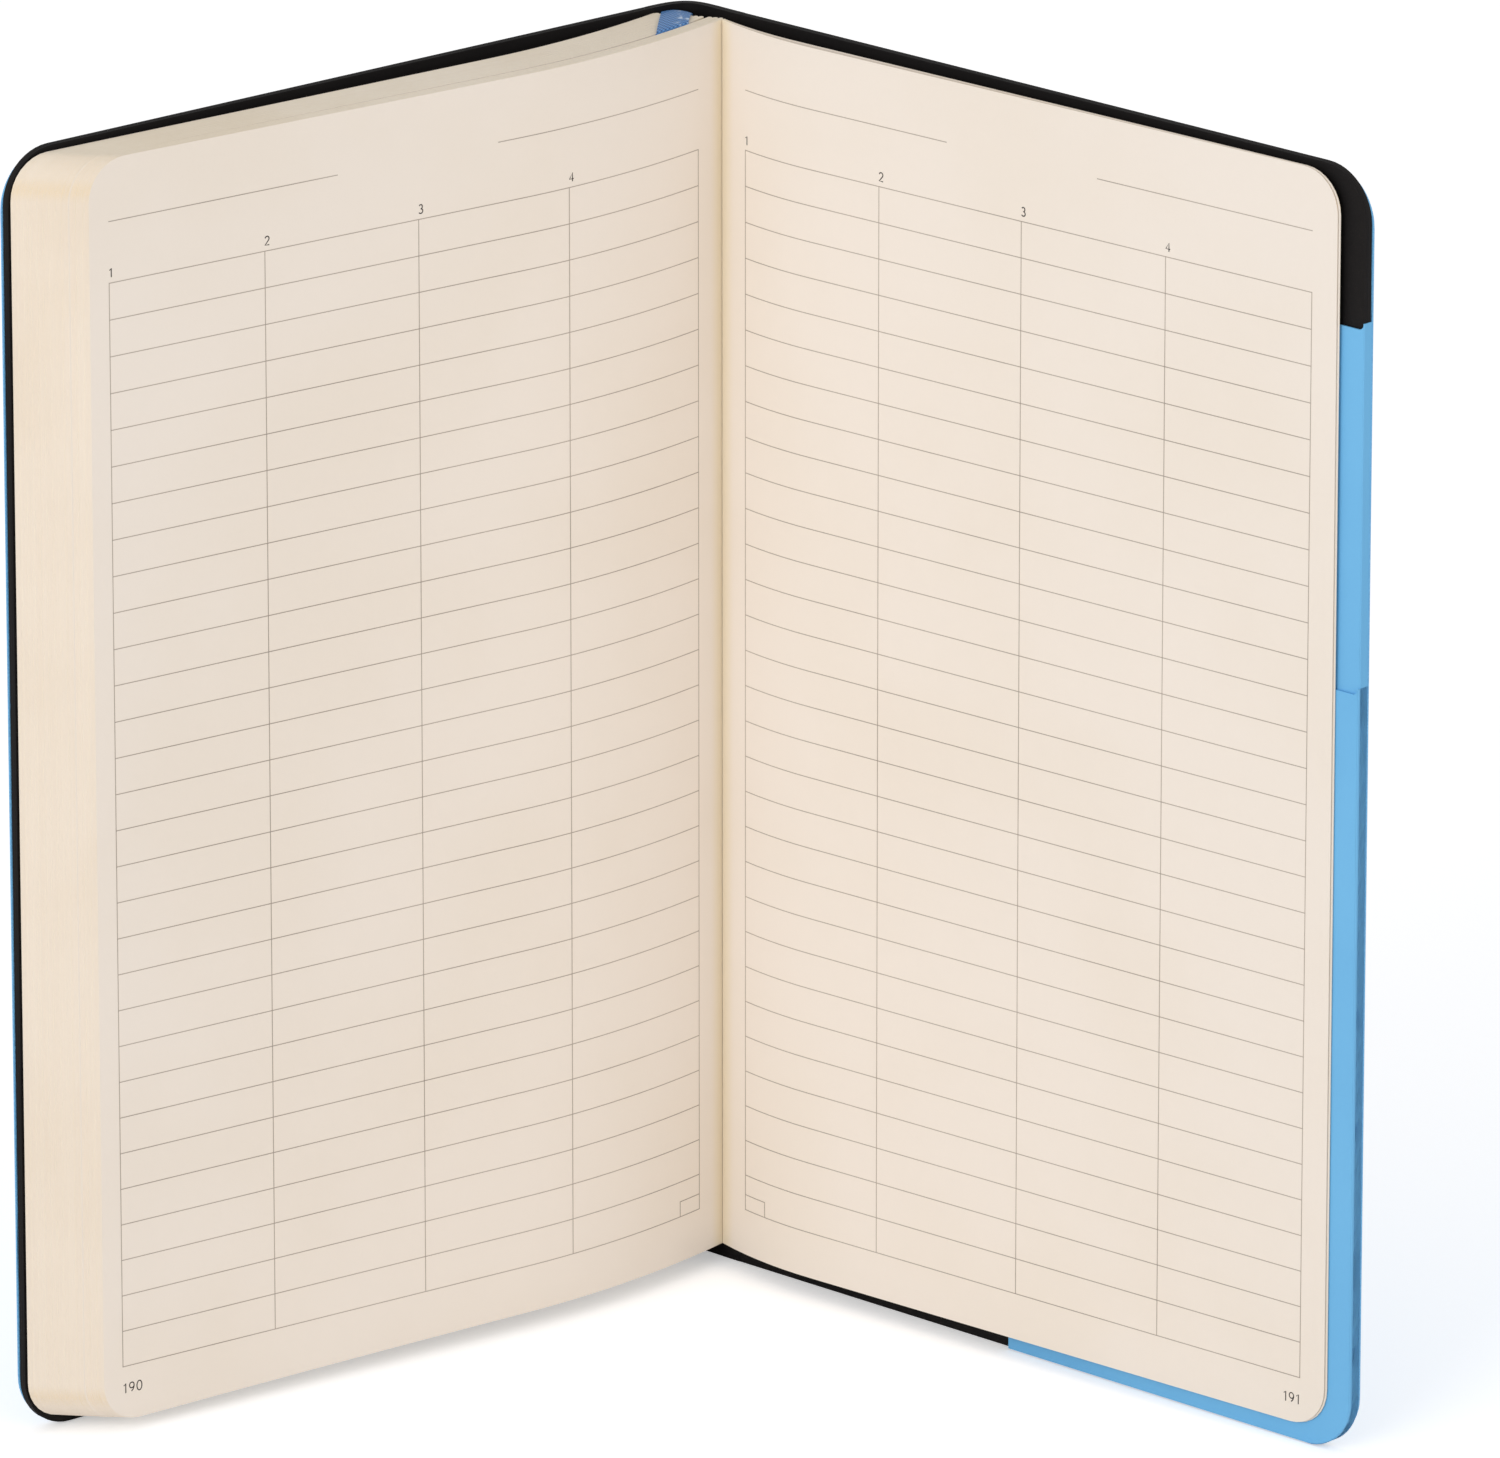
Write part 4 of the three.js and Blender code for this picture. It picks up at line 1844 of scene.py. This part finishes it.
@dataclass
class Pocket:
    """The two-step pocket on the inside of the back cover, turned over the board's fore-edge."""

    finishes: Finishes
    case: Case
    start: float = 59.0
    rear_height: float = 186.5
    front_height: float = 127.0
    thickness: float = 0.32
    pitch: float = 0.4
    glue_line: float = 0.1
    tail_gap: float = 0.06
    mouth_fillet: float = 1.1
    rim_inset: float = 0.06
    rim_overlap: float = 0.06
    edge_round: float = 0.1
    rows: int = 24
    flat_stations: int = 14
    corner_stations: int = 14
    edge_stations: int = 20

    def face(self, layer: int) -> float:
        """Offset of a panel's face from the case's middle, towards the reader."""
        return self.case.thickness / 2 + self.glue_line + layer * self.pitch + self.thickness

    def panel(self, layer: int, height: float) -> Surface:
        """A panel of the pocket, which ends at the board's round corner and turns up at the rim.

        Near the rim its mouth climbs by r - sqrt(r^2 - (reach - (rim - r))^2), r being the fillet.

        Args:
            layer: 0 for the rear panel and 1 for the front one.
            height: Height of its mouth.

        Returns:
            The closed card.
        """
        case = self.case
        radius = case.corner_radius - case.overhang
        rim = case.back_reach - case.overhang
        turn = np.linspace(0, math.pi / 2, self.corner_stations)[1:]
        flat = np.linspace(self.start, rim - radius, self.flat_stations)
        reach = np.concatenate([flat, rim - radius + radius * np.sin(turn)])
        reach = np.sort(np.append(reach, rim - self.mouth_fillet * (1 - np.sin(turn[:-1:2]))))
        low, _ = corner_range(reach, rim, radius, self.tail_gap, height)
        past = np.clip(reach - (rim - self.mouth_fillet), 0, self.mouth_fillet)
        high = height + self.mouth_fillet - np.sqrt(self.mouth_fillet**2 - past**2)
        points = joint_place("back_cover_joint") + reach[:, None] * heading(-case.back_angle)
        path = path_through(points, reach).shifted(self.thickness / 2 - self.face(layer))
        return raise_sheet(path, self.thickness, low, high, self.rows)

    def outline(self, inset: float, top: float) -> np.ndarray:
        """The cover's outline, moved inward, from a height on the fore-edge to the tail.

        Args:
            inset: How far it is moved inward.
            top: Height that it starts at.

        Returns:
            Rows of (reach, height): down the fore-edge, then round the corner on an arc.
        """
        radius = self.case.corner_radius - inset
        centre = self.case.back_reach - self.case.corner_radius
        turn = np.linspace(0, math.pi / 2, self.corner_stations)
        arc = np.stack([centre + radius * np.cos(turn), radius * (1 - np.sin(turn))], axis=1)
        straight = np.linspace(top, radius, self.edge_stations)[:-1]
        edge = np.stack([np.full(len(straight), centre + radius), straight], axis=1)
        return np.concatenate([edge, arc])

    def turned_rim(self, layer: int, top: float) -> Surface:
        """The strip of a panel that is turned over the board's fore-edge, down to the skin.

        Its lowest points are lifted by the gap that the panel keeps from the tail.

        Args:
            layer: 0 for the rear panel and 1 for the front one.
            top: Height that the strip starts at.

        Returns:
            The closed strip.
        """
        case = self.case
        inner = self.outline(case.overhang + self.rim_overlap, top)
        outer = self.outline(self.rim_inset, top)
        levels = np.array([-self.face(layer), case.thickness / 2 - case.skin])
        run = heading(-case.back_angle)
        solid = np.empty((2, len(inner), 2, 3))
        for side, edge in enumerate((outer, inner)):
            plan = joint_place("back_cover_joint") + edge[:, :1] * run
            solid[side, ..., :2] = plan[:, None] + levels[None, :, None] * left_of(run)
            solid[side, ..., 2] = edge[:, 1:] + self.tail_gap * (edge[:, 1:] < self.tail_gap)
        return slab(solid, {})

    def build(self) -> None:
        """Makes both panels and their turned strips."""
        panels = [
            ("pocket_rear_panel", 0, self.rear_height),
            ("pocket_front_panel", 1, self.front_height),
        ]
        for node, layer, height in panels:
            rim = self.turned_rim(layer, height + self.mouth_fillet)
            for part, surface in (("card", self.panel(layer, height)), ("rim", rim)):
                piece = make_piece(f"{node}_{part}", surface, [self.finishes.pocket])
                smooth_walls(piece)
                round_edges(piece, self.edge_round)
                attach(piece, "back_cover")
                stand_for(piece, node, "pocket_blue")


@dataclass
class Ribbon:
    """The ribbon: from its glued tab, up out of the hollow, over the head and down between leaves."""

    finishes: Finishes
    block: Block
    width: float = 8.0
    thickness: float = 0.25
    fold_inset: float = 4.9
    slot_play: float = 0.08
    spine_tilt: float = 14.7
    tab_offset: float = 2.1
    tab_shift: float = -2.5
    tab_length: float = 34.0
    foot_inset: float = 24.0
    hump_height: float = 0.32
    rear_drop: float = 0.5
    gathered_width: float = 5.0
    gather_bow: float = 0.5
    end_slant: float = 2.4
    smooth_angle: float = 50.0
    climb_stations: int = 12
    cross_stations: int = 25
    fall_stations: int = 24
    points_across: int = 9

    def slot_ends(self) -> np.ndarray:
        """Where the ribbon lies in its slot.

        Returns:
            Plan points of its two edges: far from the fold, then near.
        """
        index = self.block.sections_before_ribbon
        reach = np.array([self.fold_inset + self.width, self.fold_inset])
        stack = self.block.page_offset * self.block.spread(index, reach)
        return self.block.section_way(index).at(reach, -stack - self.slot_play - self.thickness / 2)

    def tab_ends(self, width: float) -> np.ndarray:
        """Where the tab lies in the hollow of the spine.

        Args:
            width: Width of the tab.

        Returns:
            Plan points of its edges: towards the front cover, then the back cover.
        """
        ends = (0, self.block.section_count - 1)
        first, last = [joint_place(f"{section_name(index)}_fold") for index in ends]
        back = heading(90 - self.spine_tilt)
        along = heading(-self.spine_tilt)
        middle = (first + last) / 2 + self.tab_shift * along + self.tab_offset * back
        return middle + np.array([[-0.5], [0.5]]) * width * along

    def route(self) -> tuple[np.ndarray, np.ndarray, np.ndarray]:
        """The course of the band.

        Each edge runs up the hollow, gathers as it climbs, leaves it just under the head, crosses
        the head on a cubic curve whose handles both point up, and runs straight down the slot. A
        handle is 4/3 of the hump's height, of which the middle of the curve takes 3/4.

        Returns:
            The two edges, each as rows of (x, y, z), and how far the band bows between them.
        """
        head = self.block.leaf_tail + self.block.leaf_height
        fall = self.fall_stations
        flat, gathered = self.tab_ends(self.width), self.tab_ends(self.gathered_width)
        climb = np.linspace(0, 1, self.climb_stations)[:, None]
        gather = climb**2
        brink = head - self.rear_drop
        rise = brink - self.tab_length * (1 - climb)
        t = np.linspace(0, 1, self.cross_stations)[1:-1, None]
        handle = np.array([0.0, 0.0, 4 / 3 * self.hump_height])
        edges = []
        for wide, start, end, slant in zip(flat, gathered, self.slot_ends(), (0.0, self.end_slant)):
            up = np.hstack([wide + gather * (start - wide), rise])
            low, high = np.array([*start, head]), np.array([*end, head])
            over = (1 - t) ** 3 * up[-1] + 3 * (1 - t) ** 2 * t * (low + handle)
            over = over + 3 * (1 - t) * t**2 * (high + handle) + t**3 * high
            foot = self.block.leaf_tail + self.foot_inset + slant
            down = np.hstack([np.repeat(end[None], fall, axis=0), np.linspace(head, foot, fall)[:, None]])
            edges.append(np.concatenate([up, over, down]))
        bow = np.concatenate([gather[:, 0], (1 - t[:, 0]) ** 2, np.zeros(fall)]) * self.gather_bow
        return edges[0], edges[1], bow

    def band(self) -> tuple[Surface, np.ndarray]:
        """The band between its two edges.

        A point is left + (right - left) w, moved by 4 w (1 - w) times the bow along the first
        normal, and then by half the thickness. A normal is the cross product of the directions
        across and along.

        Returns:
            The closed band, and the points of its middle line.
        """
        left, right, bow = self.route()
        share, centre = np.linspace(0, 1, self.points_across), self.points_across // 2
        middle = left[:, None] + (right - left)[:, None] * share[None, :, None]
        normal = self.normals(middle)
        arch = 4 * share * (1 - share)
        middle = middle - normal * bow[:, None, None] * arch[None, :, None]
        normal = self.normals(middle)
        half = normal * self.thickness / 2
        solid = np.stack([middle - half, middle + half])
        steps = np.linalg.norm(np.diff(middle[:, centre], axis=0), axis=1)
        place = np.zeros_like(solid)
        place[..., 0] = (share * self.width)[None, None, :]
        place[..., 1] = np.concatenate([[0.0], np.cumsum(steps)])[None, :, None]
        place[..., 2] = np.array([-1.0, 1.0])[:, None, None]
        return slab(solid, {"page_place": place}), middle[:, centre]

    @staticmethod
    def normals(grid: np.ndarray) -> np.ndarray:
        """Unit normals of a grid.

        Args:
            grid: Points, stations by levels.

        Returns:
            One normal for each point.
        """
        along, across = np.gradient(grid, axis=0), np.gradient(grid, axis=1)
        normal = np.cross(across, along)
        return normal / np.linalg.norm(normal, axis=2)[..., None]

    def build(self) -> None:
        surface, line = self.band()
        piece = make_piece("ribbon_band", surface, [self.finishes.ribbon])
        smooth_walls(piece, self.smooth_angle)
        tab, slot = self.tab_ends(self.width).mean(axis=0), self.slot_ends()[1]
        section = section_name(self.block.sections_before_ribbon)
        bend_between(piece, ("spine", section), tab, slot)
        length = float(np.linalg.norm(np.diff(line, axis=0), axis=1).sum())
        [tuple(point * MM) for point in line]
        stand_for(piece, "bookmark_ribbon", "ribbon_blue")
        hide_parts("ribbon_tab")


@dataclass
class Sewing:
    """What lies behind the folds: threads and gauze, which keep their own shapes."""

    finishes: Finishes

    def build(self) -> None:
        """Dresses the nodes that keep their shapes."""
        for name, node in frame["nodes"].items():
            if name.startswith("sewing_thread"):
                finish = self.finishes.thread
            elif name == "spine_gauze":
                finish = self.finishes.gauze
            else:
                continue
            node.data.materials.clear()
            node.data.materials.append(finish)
            log.info("%s keeps its shape, in %s", name, finish.name)


@dataclass(frozen=True)
class Lamp:
    """A soft square lamp, in metres and watts."""

    name: str
    place: tuple
    size: float
    power: float
    colour: tuple

    def build(self, target: tuple) -> None:
        """Sets the lamp.

        Args:
            target: The point that it shines at.
        """
        data = bpy.data.lights.new(self.name, "AREA")
        data.size = self.size
        data.energy = self.power
        data.color = self.colour
        lamp = bpy.data.objects.new(self.name, data)
        lamp.location = self.place
        aim = Vector(target) - Vector(self.place)
        lamp.rotation_euler = aim.to_track_quat("-Z", "Y").to_euler()
        bpy.context.scene.collection.objects.link(lamp)


@dataclass
class Studio:
    """Camera, lights, floor and background.

    The camera's place is in millimetres, and sizes that end in _m are in metres.
    """

    focal_px: float = 16761.0
    image_width_px: float = 1500.0
    sensor: float = 36.0
    place: tuple = (10.75, -2526.94, 958.75)
    pitch: float = 18.665
    clip_end_m: float = 20.0
    floor_half_m: float = 4.0
    floor_drop_m: float = 0.0002
    floor_colour: tuple = (0.93, 0.93, 0.94)
    floor_roughness: float = 0.9
    floor_specular: float = 0.1
    floor_glow: float = 0.4
    world_strength: float = 0.62
    lamp_target: tuple = (0, 0, 0.1)
    lamps: tuple[Lamp, ...] = (
        Lamp(name="key", place=(-1.1, -1.7, 0.9), size=1.2, power=14.0, colour=(1.0, 1.0, 1.0)),
        Lamp(name="fill", place=(1.3, -1.4, 0.6), size=1.4, power=5.0, colour=(1.0, 0.96, 0.91)),
    )

    def build_camera(self) -> None:
        """Sets the camera at the photograph's viewing angle."""
        data = bpy.data.cameras.new("camera")
        data.sensor_width = self.sensor
        data.lens = self.focal_px / self.image_width_px * self.sensor
        data.clip_end = self.clip_end_m
        camera = bpy.data.objects.new("camera", data)
        camera.location = Vector(self.place) * MM
        camera.rotation_euler = (math.radians(90 - self.pitch), 0, 0)
        bpy.context.scene.collection.objects.link(camera)
        bpy.context.scene.camera = camera

    def build_floor(self) -> None:
        """Makes the plain white floor, which keeps a soft shadow and adds no light to the object."""
        mesh = bpy.data.meshes.new("floor")
        half = self.floor_half_m
        corners = [(-half, -half, 0), (half, -half, 0), (half, half, 0), (-half, half, 0)]
        mesh.from_pydata(corners, [], [(0, 1, 2, 3)])
        floor = bpy.data.objects.new("floor", mesh)
        floor.location.z = -self.floor_drop_m
        bpy.context.scene.collection.objects.link(floor)
        finish = Finish("white_floor", self.floor_roughness, self.floor_specular)
        graph, shader = finish.graph, finish.shader
        shader.inputs["Base Color"].default_value = (*self.floor_colour, 1)
        shader.inputs["Emission Color"].default_value = (1, 1, 1, 1)
        seen = graph.add("ShaderNodeLightPath").outputs["Is Camera Ray"]
        graph.join(graph.math("MULTIPLY", seen, self.floor_glow), shader.inputs["Emission Strength"])
        mesh.materials.append(finish.material)

    def build_light(self) -> None:
        """Sets the soft lamps and the surroundings, which the camera sees as white."""
        world = bpy.data.worlds.new("studio")
        bpy.context.scene.world = world
        world.use_nodes = True
        background = world.node_tree.nodes["Background"]
        background.inputs["Color"].default_value = (1, 1, 1, 1)
        graph = Graph(world.node_tree)
        seen = graph.add("ShaderNodeLightPath").outputs["Is Camera Ray"]
        extra = graph.math("MULTIPLY", seen, 1 - self.world_strength)
        graph.join(graph.math("ADD", extra, self.world_strength), background.inputs["Strength"])
        for lamp in self.lamps:
            lamp.build(self.lamp_target)

    def build(self) -> None:
        """Sets the whole studio."""
        self.build_camera()
        self.build_floor()
        self.build_light()
        bpy.context.scene.view_settings.view_transform = "Standard"


def main() -> None:
    """Builds the notebook piece by piece."""
    logging.basicConfig(level=logging.INFO, format="%(message)s")
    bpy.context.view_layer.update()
    Studio().build()
    finishes = Finishes()
    block = Block(finishes)
    Ribbon(finishes, block).build()
    block.build()
    PagePrint(finishes, block).build()
    case = Case(finishes)
    case.build()
    Pocket(finishes, case).build()
    Sewing(finishes).build()


if __name__ == "__main__":
    main()
